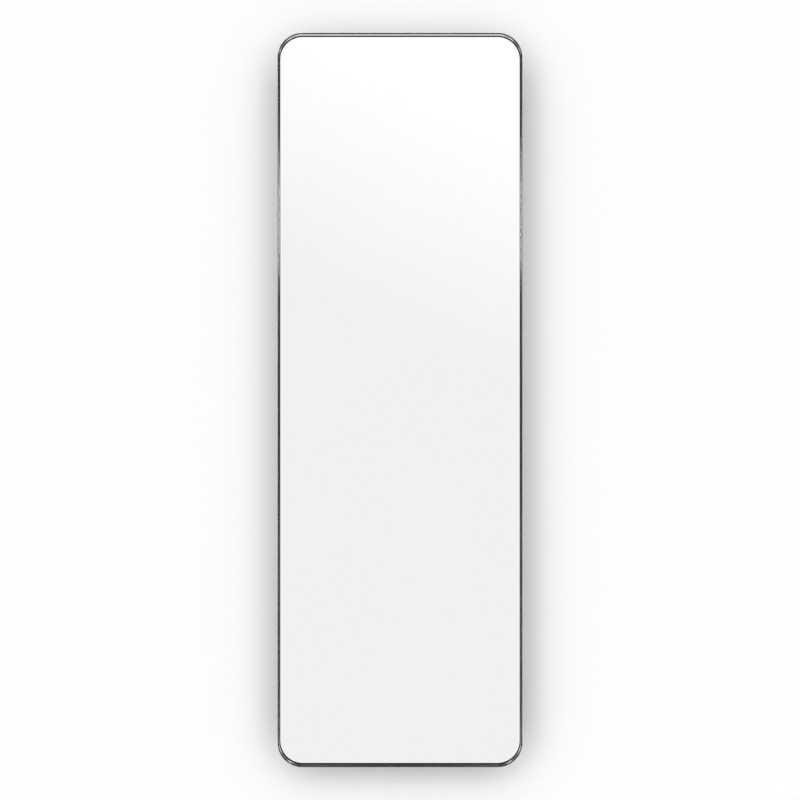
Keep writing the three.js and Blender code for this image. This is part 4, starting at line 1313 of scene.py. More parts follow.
@dataclass
class Swivel:
    """The shaft, its bushes, washers, spring and nut, the tube with the stop ring, and the two brackets."""

    shaft_radius: float = 4.0
    running_gap: float = 0.2
    tube_wall: float = 1.5
    flange_thickness: float = 1.5
    head_height: float = 5.0
    socket_radius: float = 2.9
    socket_depth: float = 3.0
    chamfer: float = 0.8
    spring_thickness: float = 0.9
    bracket_width: float = 36.0
    base_corner: float = 2.0
    eye_radius: float = 10.5
    eye_end: float = 110.0
    shoulder: float = 9.0
    shoulder_share: float = 0.45
    shoulder_rise: float = 3.0
    screw_clearance: float = 2.8
    stop_width: float = 3.0
    stop_inset: float = 0.3
    lug_degrees: float = 20.0
    lug_start: float = -99.0
    notch_start: float = -100.0
    notch_degrees: float = 112.0

    def __post_init__(self) -> None:
        """Reads the swivel's axis from the tube."""
        low, high = box_mm("pivot_tube")
        self.x, self.y = (low.x + high.x) / 2, (low.y + high.y) / 2
        self.tube_radius = (high.x - low.x) / 2
        self.bore = self.shaft_radius + self.running_gap

    def turned_piece(
        self, name: str, profile: Sequence[Point2], finish: Finish, body: Body, radius: float = 0.0
    ) -> None:
        """A turned piece on the swivel's axis that stands for the node of its name.

        Args:
            name: The node's name.
            profile: The section in (radius, z).
            finish: The finish.
            body: The body that it moves with.
            radius: Rounding of the section's corners.
        """
        section = rounded(profile, radius, steps=3) if radius else list(profile)
        solid = turned(section).moved(self.x, self.y)
        finish_piece(solid.to_object(name + "_shape"), finish, body, [name])

    def ring(self, name: str, outer: float, inner: float, finish: Finish, body: Body) -> None:
        """A ring as high as its node.

        Args:
            name: The node's name.
            outer: Outer radius.
            inner: Inner radius.
            finish: The finish.
            body: The body that it moves with.
        """
        low, high = box_mm(name)
        section = [(inner, low.z), (outer, low.z), (outer, high.z), (inner, high.z)]
        self.turned_piece(name, section, finish, body, radius=0.2)

    def bush(self, level: Level) -> None:
        """A flanged bush, its flange away from the tube."""
        low, high = box_mm(f"{level.value}_pivot_bush")
        outer = self.tube_radius - self.tube_wall - FIT_GAP
        if level is Level.UPPER:
            tail, flange, cap = low.z, high.z - self.flange_thickness, high.z
        else:
            tail, flange, cap = high.z, low.z + self.flange_thickness, low.z
        section = [
            (self.bore, tail),
            (outer, tail),
            (outer, flange),
            (self.tube_radius, flange),
            (self.tube_radius, cap),
            (self.bore, cap),
        ]
        self.turned_piece(f"{level.value}_pivot_bush", section, ACETAL, Body.CARRIAGE, radius=0.25)

    def shaft(self) -> None:
        """The shaft with its round head and hexagon socket."""
        low, high = box_mm("pivot_shaft")
        head_radius = (high.x - low.x) / 2
        under = high.z - self.head_height
        section = [
            (0.0, low.z),
            (self.shaft_radius - self.chamfer, low.z),
            (self.shaft_radius, low.z + self.chamfer),
            (self.shaft_radius, under),
            (head_radius, under),
            (head_radius, high.z - self.chamfer),
            (head_radius - self.chamfer, high.z),
            (0.0, high.z),
        ]
        item = turned(section).moved(self.x, self.y).to_object("pivot_shaft_shape")
        hexagon = circle(self.x, self.y, self.socket_radius, steps=6)
        socket = prism(hexagon, Along.Z, high.z - self.socket_depth, high.z + OVERRUN)
        combine(item, [socket], "DIFFERENCE")
        soften(item, width=0.15)
        finish_piece(item, NICKEL, Body.MIRROR, ["pivot_shaft"])

    def nut(self) -> None:
        """The hexagon lock nut, its edges rounded."""
        low, high = box_mm("lock_nut")
        radius = (high.x - low.x) / 2
        hexagon = prism(circle(self.x, self.y, radius, steps=6), Along.Z, low.z, high.z)
        bore = prism(circle(self.x, self.y, self.bore), Along.Z, low.z - OVERRUN, high.z + OVERRUN)
        pressed_piece("lock_nut", hexagon, NICKEL, Body.MIRROR, [bore], edge=0.45)

    def bracket(self, level: Level) -> None:
        """A pivot bracket: a base on the spine, an ear with the eye and, on the upper one, the stop lug.

        Args:
            level: Which bracket.
        """
        name = f"{level.value}_pivot_bracket"
        low, high = box_mm(name)
        sign = 1 if level is Level.UPPER else -1
        washer_low, washer_high = box_mm(f"{level.value}_friction_washer")
        near = (washer_high.z if sign > 0 else -washer_low.z) + FIT_GAP
        far = high.z if sign > 0 else -low.z
        spine_low, _ = box_mm("hinge_spine")
        spine_x, _ = middle_of("hinge_spine")
        left = spine_x - self.bracket_width / 2
        right = left + self.bracket_width
        front = spine_low.y + SPINE_SHEET + FIT_GAP
        rear = front + BRACKET_SHEET
        base = prism(rounded_rectangle((left, near), (right, far), self.base_corner), Along.Y, front, rear)
        start = math.degrees(math.asin((self.y - front) / self.eye_radius)) - 180
        ear = prism(
            [
                (left, front),
                *arc(self.x, self.y, self.eye_radius, start, self.eye_end, 40),
                (
                    left + self.bracket_width * self.shoulder_share,
                    front + self.shoulder + self.shoulder_rise,
                ),
                (left, front + self.shoulder),
            ],
            Along.Z,
            near,
            near + BRACKET_SHEET,
        )
        lugs: list[Solid] = []
        if level is Level.UPPER:
            inner = self.tube_radius + FIT_GAP + self.stop_inset
            outer = inner + self.stop_width - 2 * self.stop_inset
            end = self.lug_start + self.lug_degrees
            outline = [
                *arc(self.x, self.y, outer, self.lug_start, end, 6),
                *arc(self.x, self.y, inner, end, self.lug_start, 6),
            ]
            lugs.append(prism(outline, Along.Z, low.z, near + BRACKET_SHEET / 2))
        under, over = near - OVERRUN, near + BRACKET_SHEET + OVERRUN
        cuts = [prism(circle(self.x, self.y, self.bore), Along.Z, under, over)]
        for place in SCREW_PLACES:
            x, z = middle_of(f"{level.value}_bracket_{place}_screw")
            cuts.append(drill(x, sign * z, self.screw_clearance, front - OVERRUN, rear + OVERRUN))
        if sign < 0:
            base, ear = base.upside_down(), ear.upside_down()
            cuts = [solid.upside_down() for solid in cuts]
        pressed_piece(name, base, POWDER, Body.MIRROR, cuts, [ear], edge=0.3, late=lugs)

    def stop_ring(self) -> None:
        """The ring on the tube whose notch limits the swivel."""
        low, high = box_mm("swivel_stop_ring")
        inner = self.tube_radius + FIT_GAP
        start, end = self.notch_start + self.notch_degrees, self.notch_start + 360
        outline = [
            *arc(self.x, self.y, inner + self.stop_width, start, end, 56),
            *arc(self.x, self.y, inner, end, start, 56),
        ]
        ring = prism(outline, Along.Z, low.z, high.z)
        pressed_piece("swivel_stop_ring", ring, POWDER, Body.CARRIAGE, edge=0.4)

    def build(self) -> None:
        """Makes and dresses the swivel's pieces."""
        self.ring("pivot_tube", self.tube_radius, self.tube_radius - self.tube_wall, POWDER, Body.CARRIAGE)
        self.stop_ring()
        for level in Level:
            self.bush(level)
            self.ring(f"{level.value}_friction_washer", self.tube_radius, self.bore, ACETAL, Body.MIRROR)
            self.bracket(level)
        self.shaft()
        low, high = box_mm("disc_spring")
        outer = (high.x - low.x) / 2
        cone = [
            (self.bore, low.z + self.spring_thickness),
            (self.bore, low.z),
            (outer, high.z - self.spring_thickness),
            (outer, high.z),
        ]
        self.turned_piece("disc_spring", cone, NICKEL, Body.MIRROR, radius=0.15)
        self.nut()


@dataclass
class Slides:
    """Two three-part telescopic slides with their ball cages, bumpers and screws."""

    sheet: float = 1.2
    height: float = 45.7
    depth: float = 12.7
    member_bend: float = 1.0
    outer_bend: float = 1.6
    outer_lip: float = 35.0
    middle_lip: float = 45.0
    inner_lip: float = 135.0
    shoulder: float = 60.0
    ball_radius: float = 2.0
    balls_per_row: int = 6
    cage_sheet: float = 0.7
    cage_bend: float = 1.2
    cage_end: float = 6.0
    pocket_bite: float = 0.12
    ball_play: float = 0.02
    tab_length: float = 2.0
    tab_height: float = 8.0
    access_radius: float = 4.5
    screw_clearance: float = 2.8
    sink_radius: float = 3.2
    sink_shank: float = 2.0
    recess_reach: float = 1.9
    recess_half_width: float = 0.42
    recess_depth: float = 0.9
    peg_radius: float = 1.5
    wing_height: float = 30.0
    nose_height: float = 18.0
    wing_depth: float = 6.5
    bumper_corner: float = 1.2
    bend_steps: int = 7
    race_steps: int = 12

    def __post_init__(self) -> None:
        """Works out the section's places, as depths from the slide's back and heights from its middle."""
        low, high = box_mm("upper_slide_outer_member")
        self.start, self.end = low.x, high.x
        self.back = high.y
        self.centre, self.z = middle_of("upper_slide_outer_member")
        race = self.ball_radius + FIT_GAP
        self.race = race + self.sheet / 2
        self.cos = math.cos(math.radians(self.shoulder))
        self.sin = math.sin(math.radians(self.shoulder))
        self.rise = 180 - self.shoulder
        self.outer_web = self.sheet / 2
        self.outer_cage = self.sheet + FIT_GAP + self.cage_sheet / 2
        self.middle_web = self.outer_cage + self.cage_sheet / 2 + FIT_GAP + self.sheet / 2
        self.inner_cage = self.middle_web + self.sheet / 2 + FIT_GAP + self.cage_sheet / 2
        self.inner_web = self.depth - self.sheet / 2
        self.outer_ball = (
            self.middle_web + self.member_bend * (1 + self.cos) + self.race * self.cos,
            self.height / 2 - self.sheet - race,
        )
        self.inner_ball = (
            self.outer_ball[0] + 2 * self.race * self.cos,
            self.outer_ball[1] - 2 * self.race * self.sin,
        )
        cage_low, cage_high = box_mm("upper_slide_outer_ball_cage")
        self.cage_half = (cage_high.x - cage_low.x) / 2
        self.tab_x = self.cage_half + (self.end - self.start) / 4 + FIT_GAP

    def outer_line(self) -> list[Point2]:
        """Middle line of the outer member's sheet."""
        ball, bend, steps = self.outer_ball, self.outer_bend, self.bend_steps
        race_start = (ball[0] - self.race * self.cos, ball[1] + self.race * self.sin)
        end_depth = self.outer_web + bend * (1 - self.cos)
        end_height = race_start[1] - (race_start[0] - end_depth) * (self.cos / self.sin)
        centre = end_height - bend * self.sin
        return both_halves(
            [
                *arc(self.outer_web + bend, centre, bend, 180, self.rise, steps),
                *arc(*ball, self.race, self.rise, self.outer_lip, self.race_steps),
            ]
        )

    def middle_line(self) -> list[Point2]:
        """Middle line of the middle member's sheet."""
        outer, inner, bend, steps = self.outer_ball, self.inner_ball, self.member_bend, self.bend_steps
        centre = (
            outer[0] - (self.race + bend) * self.cos,
            outer[1] - (self.race + bend) * self.sin,
        )
        return both_halves(
            [
                *arc(*centre, bend, 180, self.shoulder, steps),
                *arc(*outer, self.race, -self.rise, -self.shoulder, self.race_steps)[1:],
                *arc(*inner, self.race, self.rise, self.middle_lip, self.race_steps)[1:],
            ]
        )

    def inner_line(self) -> list[Point2]:
        """Middle line of the inner member's sheet."""
        ball = self.inner_ball
        start = ball[0] + self.race * self.cos
        bend = (self.inner_web - start) / (1 + self.cos)
        centre = ball[1] - (self.race + bend) * self.sin
        return both_halves(
            [
                *arc(self.inner_web - bend, centre, bend, 0, self.rise, self.bend_steps),
                *arc(*ball, self.race, -self.shoulder, -self.inner_lip, self.race_steps)[1:],
            ]
        )

    def cage_line(self, web: float, ball: Point2) -> list[Point2]:
        """Middle line of a cage's strip."""
        bend = self.cage_bend
        return both_halves(
            [
                *arc(web + bend, ball[1] - bend, bend, 180, 90, self.bend_steps),
                (ball[0] + self.ball_radius, ball[1]),
            ]
        )

    def drawn(self, line: Sequence[Point2], sheet: float, start: float, end: float, z: float) -> Solid:
        """A bent strip along X.

        Args:
            line: Middle line in (depth, height).
            sheet: Thickness.
            start: Where it starts.
            end: Where it ends.
            z: Height of the slide's middle.

        Returns:
            The solid.
        """
        outline = [(self.back - depth, z + height) for depth, height in sheet_outline(line, sheet)]
        return prism(outline, Along.X, start, end)

    def tab(self, z: float, web: float, reach: float, end: int) -> Solid:
        """A stop tab lanced out of a web.

        Args:
            z: Height of the slide's middle.
            web: Depth of the web's middle.
            reach: Depth that the tab reaches to.
            end: 1 towards the front, -1 towards the rear.

        Returns:
            The solid.
        """
        near = self.centre + end * self.tab_x
        far = near + end * self.tab_length
        low = (min(near, far), self.back - max(web, reach), z - self.tab_height / 2)
        high = (max(near, far), self.back - min(web, reach), z + self.tab_height / 2)
        return block(low, high)

    def outer_member(self, level: Level, z: float) -> None:
        """The outer member, fixed to the base plate."""
        name = f"{level.value}_slide_outer_member"
        low, high = box_mm(name)
        shape = self.drawn(self.outer_line(), self.sheet, low.x, high.x, z)
        face = self.back - self.sheet
        cuts = []
        sink = self.sink_radius + FIT_GAP
        hole = self.sink_shank + FIT_GAP
        section = [
            (0.0, face - OVERRUN),
            (sink, face - OVERRUN),
            (sink, face),
            (hole, self.back),
            (hole, self.back + OVERRUN),
            (0.0, self.back + OVERRUN),
        ]
        for place in SCREW_PLACES:
            x, _ = middle_of(f"{level.value}_slide_{place}_screw")
            cuts.append(turned_along_y(section, x, z))
        peg, _ = middle_of(f"{level.value}_slide_rear_bumper")
        cuts.append(drill(peg, z, self.peg_radius + FIT_GAP, face - OVERRUN, self.back + OVERRUN))
        tab = self.tab(z, self.outer_web, self.sheet + FIT_GAP + self.cage_sheet, 1)
        pressed_piece(name, shape, ZINC, Body.BASE, cuts, [tab], edge=0.15)

    def access_holes(self, level: Level, z: float) -> list[Solid]:
        """Cutters through which the outer member's screws are reached."""
        front = self.back - self.depth - OVERRUN
        axes = [middle_of(f"{level.value}_slide_{place}_screw")[0] for place in SCREW_PLACES]
        return [drill(x, z, self.access_radius, front, self.back) for x in axes]

    def middle_member(self, level: Level, z: float) -> None:
        """The middle member."""
        name = f"{level.value}_slide_middle_member"
        low, high = box_mm(name)
        shape = self.drawn(self.middle_line(), self.sheet, low.x, high.x, z)
        tabs = [
            self.tab(z, self.middle_web, self.sheet + FIT_GAP, -1),
            self.tab(z, self.middle_web, self.inner_cage + self.cage_sheet / 2, 1),
        ]
        pressed_piece(name, shape, ZINC, Body.MIDDLE, self.access_holes(level, z), tabs, edge=0.15)

    def inner_member(self, level: Level, z: float) -> None:
        """The inner member, which carries the carriage plate."""
        name = f"{level.value}_slide_inner_member"
        low, high = box_mm(name)
        shape = self.drawn(self.inner_line(), self.sheet, low.x, high.x, z)
        stops = []
        stop = self.centre - self.tab_x
        middle = self.back - self.inner_ball[0]
        for side in (-1, 1):
            near = z + side * (self.inner_ball[1] - self.race)
            far = z + side * (self.inner_ball[1] + self.cage_sheet / 2)
            stops.append(
                block(
                    (stop - self.tab_length, middle - self.ball_radius / 2, min(near, far)),
                    (stop, middle + self.ball_radius / 2, max(near, far)),
                )
            )
        front = self.back - self.depth - OVERRUN
        cuts = self.access_holes(level, z)
        for place in SCREW_PLACES:
            x, _ = middle_of(f"{level.value}_carriage_{place}_screw")
            cuts.append(drill(x, z, self.screw_clearance, front, self.back - self.inner_ball[0]))
        pressed_piece(name, shape, ZINC, Body.CARRIAGE, cuts, stops, edge=0.15)

    def ball_places(self, ball: Point2, z: float) -> list[Point3]:
        """Where a cage's balls are."""
        pitch = 2 * (self.cage_half - self.cage_end) / (self.balls_per_row - 1)
        return [
            (
                self.centre + (i - (self.balls_per_row - 1) / 2) * pitch,
                self.back - ball[0],
                z + side * ball[1],
            )
            for i in range(self.balls_per_row)
            for side in (-1, 1)
        ]

    def cage(self, level: Level, z: float, kind: str, web: float, ball: Point2, body: Body) -> None:
        """A cage strip with a pocket for each ball, and its balls.

        Args:
            level: Which slide.
            z: Height of the slide's middle.
            kind: outer or inner.
            web: Depth of the cage's web.
            ball: Depth and height of a ball's centre.
            body: The body that it moves with.
        """
        name = f"{level.value}_slide_{kind}_ball_cage"
        low, high = box_mm(name)
        strip = self.drawn(self.cage_line(web, ball), self.cage_sheet, low.x, high.x, z)
        places = self.ball_places(ball, z)
        pocket = self.ball_radius - self.pocket_bite
        section = [(0.0, -OVERRUN), (pocket, -OVERRUN), (pocket, OVERRUN), (0.0, OVERRUN)]
        cuts = [turned(section, 24).moved(*place) for place in places]
        pressed_piece(name, strip, NICKEL, body, cuts, edge=0.0)
        sizes = {"Radius": self.ball_radius - self.ball_play}
        Balls().place(f"{level.value}_{kind}_balls", places, sizes, BEARING, body, [])

    def bumper(self, level: Level, z: float) -> None:
        """The moulded bumper at the rear of the outer member."""
        name = f"{level.value}_slide_rear_bumper"
        low, high = box_mm(name)
        face, nose = self.sheet + FIT_GAP, self.depth - FIT_GAP
        wing = face + self.wing_depth
        outline = [
            (face, -self.wing_height / 2),
            (wing, -self.wing_height / 2),
            (wing, -self.nose_height / 2),
            (nose, -self.nose_height / 2),
            (nose, self.nose_height / 2),
            (wing, self.nose_height / 2),
            (wing, self.wing_height / 2),
            (face, self.wing_height / 2),
        ]
        soft = rounded(outline, self.bumper_corner, steps=4)
        moved = [(self.back - depth, z + height) for depth, height in soft]
        peg_x, _ = middle_of(name)
        peg = drill(peg_x, z, self.peg_radius, self.back - face - OVERRUN, self.back - FIT_GAP)
        pad = prism(moved, Along.X, low.x, high.x)
        pressed_piece(name, pad, NYLON, Body.BASE, joined=[peg], edge=0.4)

    def sunk_screws(self) -> None:
        """The countersunk screws of the outer members, with cross recesses."""
        long, thin = self.recess_reach, self.recess_half_width
        for level in Level:
            for place in SCREW_PLACES:
                name = f"{level.value}_slide_{place}_screw"
                low, high = box_mm(name)
                x, z = middle_of(name)
                section = [
                    (0.0, low.y),
                    (self.sink_radius, low.y),
                    (self.sink_shank, self.back),
                    (self.sink_shank, high.y),
                    (0.0, high.y),
                ]
                item = turned_along_y(section, x, z).to_object(name + "_shape")
                start, floor = low.y - OVERRUN, low.y + self.recess_depth
                bars = [
                    block((x - long, start, z - thin), (x + long, floor, z + thin)),
                    block((x - thin, start, z - long), (x + thin, floor, z + long)),
                ]
                combine(item, bars, "DIFFERENCE")
                finish_piece(item, NICKEL, Body.BASE, [name])

    def build(self) -> None:
        """Makes and dresses both slides."""
        for level, z in ((Level.UPPER, self.z), (Level.LOWER, -self.z)):
            self.outer_member(level, z)
            self.cage(level, z, "outer", self.outer_cage, self.outer_ball, Body.OUTER_CAGES)
            self.middle_member(level, z)
            self.cage(level, z, "inner", self.inner_cage, self.inner_ball, Body.INNER_CAGES)
            self.inner_member(level, z)
            self.bumper(level, z)
        self.sunk_screws()


@dataclass
class Plates:
    """The base plate on the side panel, and the carriage plate with its catch and screws."""

    base_thickness: float = 2.0
    base_bend: float = 2.0
    base_window_bar: float = 44.0
    base_window_margin: float = 36.0
    base_window_clearance: float = 18.0
    window_radius: float = 10.0
    panel_hole_radius: float = 2.75
    panel_sink_radius: float = 4.75
    panel_sink_land: float = 0.2
    panel_spacing_x: float = 256.0
    panel_spacing_z: float = 224.0
    slide_hole_radius: float = 2.3
    carriage_thickness: float = 2.0
    carriage_bend: float = 2.0
    carriage_window_bar: float = 20.0
    carriage_window_margin: float = 31.0
    carriage_window_clearance: float = 11.0
    carriage_lip_setback: float = 14.0
    catch_corner: float = 4.0
    catch_peg_radius: float = 3.0

    def __post_init__(self) -> None:
        """Reads how high the space between the slides is."""
        upper_low, _ = box_mm("upper_slide_outer_member")
        self.between = 2 * upper_low.z

    def channel(self, low: Vector, high: Vector, thickness: float, bend: float) -> Solid:
        """A plate along X whose upper and lower edges are bent towards -Y.

        Args:
            low: Lowest corner of its box.
            high: Highest corner of its box.
            thickness: Thickness of the sheet.
            bend: Radius of the bends' middle line.

        Returns:
            The solid.
        """
        web = thickness / 2
        edge = (high.z - low.z - thickness) / 2
        half = [*arc(web + bend, edge - bend, bend, 180, 90, 8), (high.y - low.y, edge)]
        outline = [(high.y - depth, height) for depth, height in sheet_outline(both_halves(half), thickness)]
        return prism(outline, Along.X, low.x, high.x)

    def windows(
        self, low: Vector, high: Vector, margin: float, bar: float, clearance: float
    ) -> list[Solid]:
        """Cutters for two windows side by side, between the slides.

        Args:
            low: Lowest corner of the plate.
            high: Highest corner of the plate.
            margin: Steel left beyond each window.
            bar: Steel left between them.
            clearance: Steel left above and below, inside the slides.

        Returns:
            The two cutters.
        """
        left, right = low.x + margin, high.x - margin
        width = (right - left - bar) / 2
        half = self.between / 2 - clearance
        return [
            prism(
                rounded_rectangle((x, -half), (x + width, half), self.window_radius),
                Along.Y,
                low.y - OVERRUN,
                high.y + OVERRUN,
            )
            for x in (left, right - width)
        ]

    def base(self) -> None:
        """The base plate, with countersunk panel holes."""
        low, high = box_mm("base_plate")
        shape = self.channel(low, high, self.base_thickness, self.base_bend)
        cuts = self.windows(
            low, high, self.base_window_margin, self.base_window_bar, self.base_window_clearance
        )
        middle, _ = middle_of("base_plate")
        face = high.y - self.base_thickness
        section = [
            (0.0, face - OVERRUN),
            (self.panel_sink_radius, face - OVERRUN),
            (self.panel_sink_radius, face),
            (self.panel_hole_radius, high.y - self.panel_sink_land),
            (self.panel_hole_radius, high.y + OVERRUN),
            (0.0, high.y + OVERRUN),
        ]
        for side in (-1, 1):
            x = middle + side * self.panel_spacing_x / 2
            for row in (-1, 0, 1):
                cuts.append(turned_along_y(section, x, row * self.panel_spacing_z / 2, steps=40))
        for level in Level:
            for place in SCREW_PLACES:
                x, z = middle_of(f"{level.value}_slide_{place}_screw")
                cuts.append(drill(x, z, self.slide_hole_radius, face - OVERRUN, high.y + OVERRUN))
        pressed_piece("base_plate", shape, POWDER, Body.BASE, cuts, edge=0.3)

    def carriage(self) -> None:
        """The carriage plate, whose lips end short of the tube."""
        low, high = box_mm("carriage_plate")
        shape = self.channel(low, high, self.carriage_thickness, self.carriage_bend)
        cuts = self.windows(
            low, high, self.carriage_window_margin, self.carriage_window_bar, self.carriage_window_clearance
        )
        front, rear = low.y - OVERRUN, high.y + OVERRUN
        for level in Level:
            for place in SCREW_PLACES:
                x, z = middle_of(f"{level.value}_carriage_{place}_screw")
                cuts.append(drill(x, z, MACHINE_SCREW.shank + FIT_GAP, front, rear))
        peg_x, _ = middle_of("catch_housing")
        cuts.append(drill(peg_x, 0.0, self.catch_peg_radius + FIT_GAP, front, rear))
        strip = self.carriage_bend + self.carriage_thickness
        for side in (-1, 1):
            inner, outer = side * (high.z - strip), side * (high.z + OVERRUN)
            cuts.append(
                block(
                    (high.x - self.carriage_lip_setback, front, min(inner, outer)),
                    (high.x + OVERRUN, rear, max(inner, outer)),
                )
            )
        pressed_piece("carriage_plate", shape, POWDER, Body.CARRIAGE, cuts, edge=0.3)

    def catch(self) -> None:
        """The moulded catch with the magnet in its pocket."""
        low, high = box_mm("catch_housing")
        magnet_low, magnet_high = box_mm("catch_magnet")
        middle, _ = middle_of("catch_housing")
        _, plate_high = box_mm("carriage_plate")
        rear = plate_high.y - self.carriage_thickness - FIT_GAP
        outline = rounded_rectangle((low.x, low.z), (high.x, high.z), self.catch_corner)
        shell = prism(outline, Along.Y, low.y, rear)
        peg = drill(middle, 0.0, self.catch_peg_radius, rear - OVERRUN, high.y)
        pocket = block(
            (magnet_low.x - FIT_GAP, low.y - OVERRUN, magnet_low.z - FIT_GAP),
            (magnet_high.x + FIT_GAP, magnet_high.y + FIT_GAP, magnet_high.z + FIT_GAP),
        )
        pressed_piece("catch_housing", shell, NYLON, Body.CARRIAGE, [pocket], [peg], edge=0.5)
        pressed_piece("catch_magnet", block(magnet_low, magnet_high), NICKEL, Body.CARRIAGE, edge=0.4)

    def build(self) -> None:
        """Makes and dresses the plates, the catch and the carriage's screws."""
        self.base()
        self.carriage()
        self.catch()
        nodes = [f"{level.value}_carriage_{place}_screw" for level in Level for place in SCREW_PLACES]
        place_screws("carriage_screws", nodes, Body.CARRIAGE, -1, MACHINE_SCREW)


# Studio


@dataclass
class Studio:
    """The camera, the white wall and the pale floor. Lengths are in metres, but for the camera's own."""

    lens_mm: float = 50.0
    sensor_mm: float = 36.0
    camera_distance: float = 1.589
    half_width: float = 3.0
    wall_gap: float = 0.0006
    floor_drop: float = 0.10
    wall_paint: str = "#fdfdfd"
    floor_paint: str = "#f4f4f3"
    fade: tuple[float, float] = (0.6, 2.2)

    def camera(self) -> None:
        """The camera, level with the mirror's middle and square to it."""
        low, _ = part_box("mirror_frame")
        data = bpy.data.cameras.new("camera")
        data.lens = self.lens_mm
        data.sensor_width = self.sensor_mm
        made = placed("camera", data)
        made.location = (0.0, low.y - self.camera_distance, 0.0)
        made.rotation_euler = (math.radians(90), 0.0, 0.0)
        bpy.context.scene.camera = made

    def surface(self, name: str, corners: Sequence[Point3], colour: str) -> None:
        """A painted stage surface that is see-through from behind and that only the camera meets.

        It fades to plain white with the distance from the mirror, so that its edges don't show.

        Args:
            name: The object's name.
            corners: Its corners, anticlockwise from its front.
            colour: Paint colour.
        """
        mesh = bpy.data.meshes.new(name)
        mesh.from_pydata(list(corners), [], [tuple(range(len(corners)))])
        made = placed(name, mesh)
        paint = bpy.data.materials.new(name + "_paint")
        paint.use_nodes = True
        tree = paint.node_tree
        tree.nodes.clear()
        matt = add_node(tree, "ShaderNodeBsdfDiffuse", {"Color": linear(colour)})
        clear = add_node(tree, "ShaderNodeBsdfTransparent")
        white = add_node(tree, "ShaderNodeEmission")
        side = add_node(tree, "ShaderNodeNewGeometry")
        away = add_node(tree, "ShaderNodeVectorMath", {0: side.outputs["Position"]}, operation="LENGTH")
        near, far = self.fade
        share = add_node(
            tree,
            "ShaderNodeMapRange",
            {"Value": away.outputs["Value"], "From Min": near, "From Max": far},
            interpolation_type="SMOOTHSTEP",
        )
        face = add_node(
            tree,
            "ShaderNodeMixShader",
            {0: share.outputs["Result"], 1: matt.outputs["BSDF"], 2: white.outputs["Emission"]},
        )
        both = add_node(
            tree,
            "ShaderNodeMixShader",
            {0: side.outputs["Backfacing"], 1: face.outputs["Shader"], 2: clear.outputs["BSDF"]},
        )
        add_node(tree, "ShaderNodeOutputMaterial", {"Surface": both.outputs["Shader"]})
        mesh.materials.append(paint)
        made.visible_diffuse = False
        made.visible_glossy = False
        made.visible_transmission = False
        made.visible_shadow = False

    def build(self) -> None:
        """Makes the camera, the wall behind the mirror and the floor below it."""
        bpy.context.scene.view_settings.view_transform = "Standard"
        self.camera()
        half, gap = self.half_width, self.wall_gap
        low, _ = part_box("mirror_frame")
        floor = low.z - self.floor_drop
        self.surface(
            "wall",
            [(-half, gap, -half), (half, gap, -half), (half, gap, half), (-half, gap, half)],
            self.wall_paint,
        )
        self.surface(
            "floor",
            [(-half, -half, floor), (half, -half, floor), (half, half, floor), (-half, half, floor)],
            self.floor_paint,
        )


@dataclass(frozen=True)
class Band:
    """A soft-edged range of values."""

    low: float
    high: float
    edge: float = 0.03


@dataclass(frozen=True)
class Panel:
    """A patch of the studio that metal and glass show, by how far across and up it lies per unit ahead."""

    across: Band
    up: Band
    strength: float


@dataclass(frozen=True)
class Lobe:
    """A soft patch of light round a direction, narrower where its spread is a higher power."""

    towards: Point3
    strength: float
    spread: float


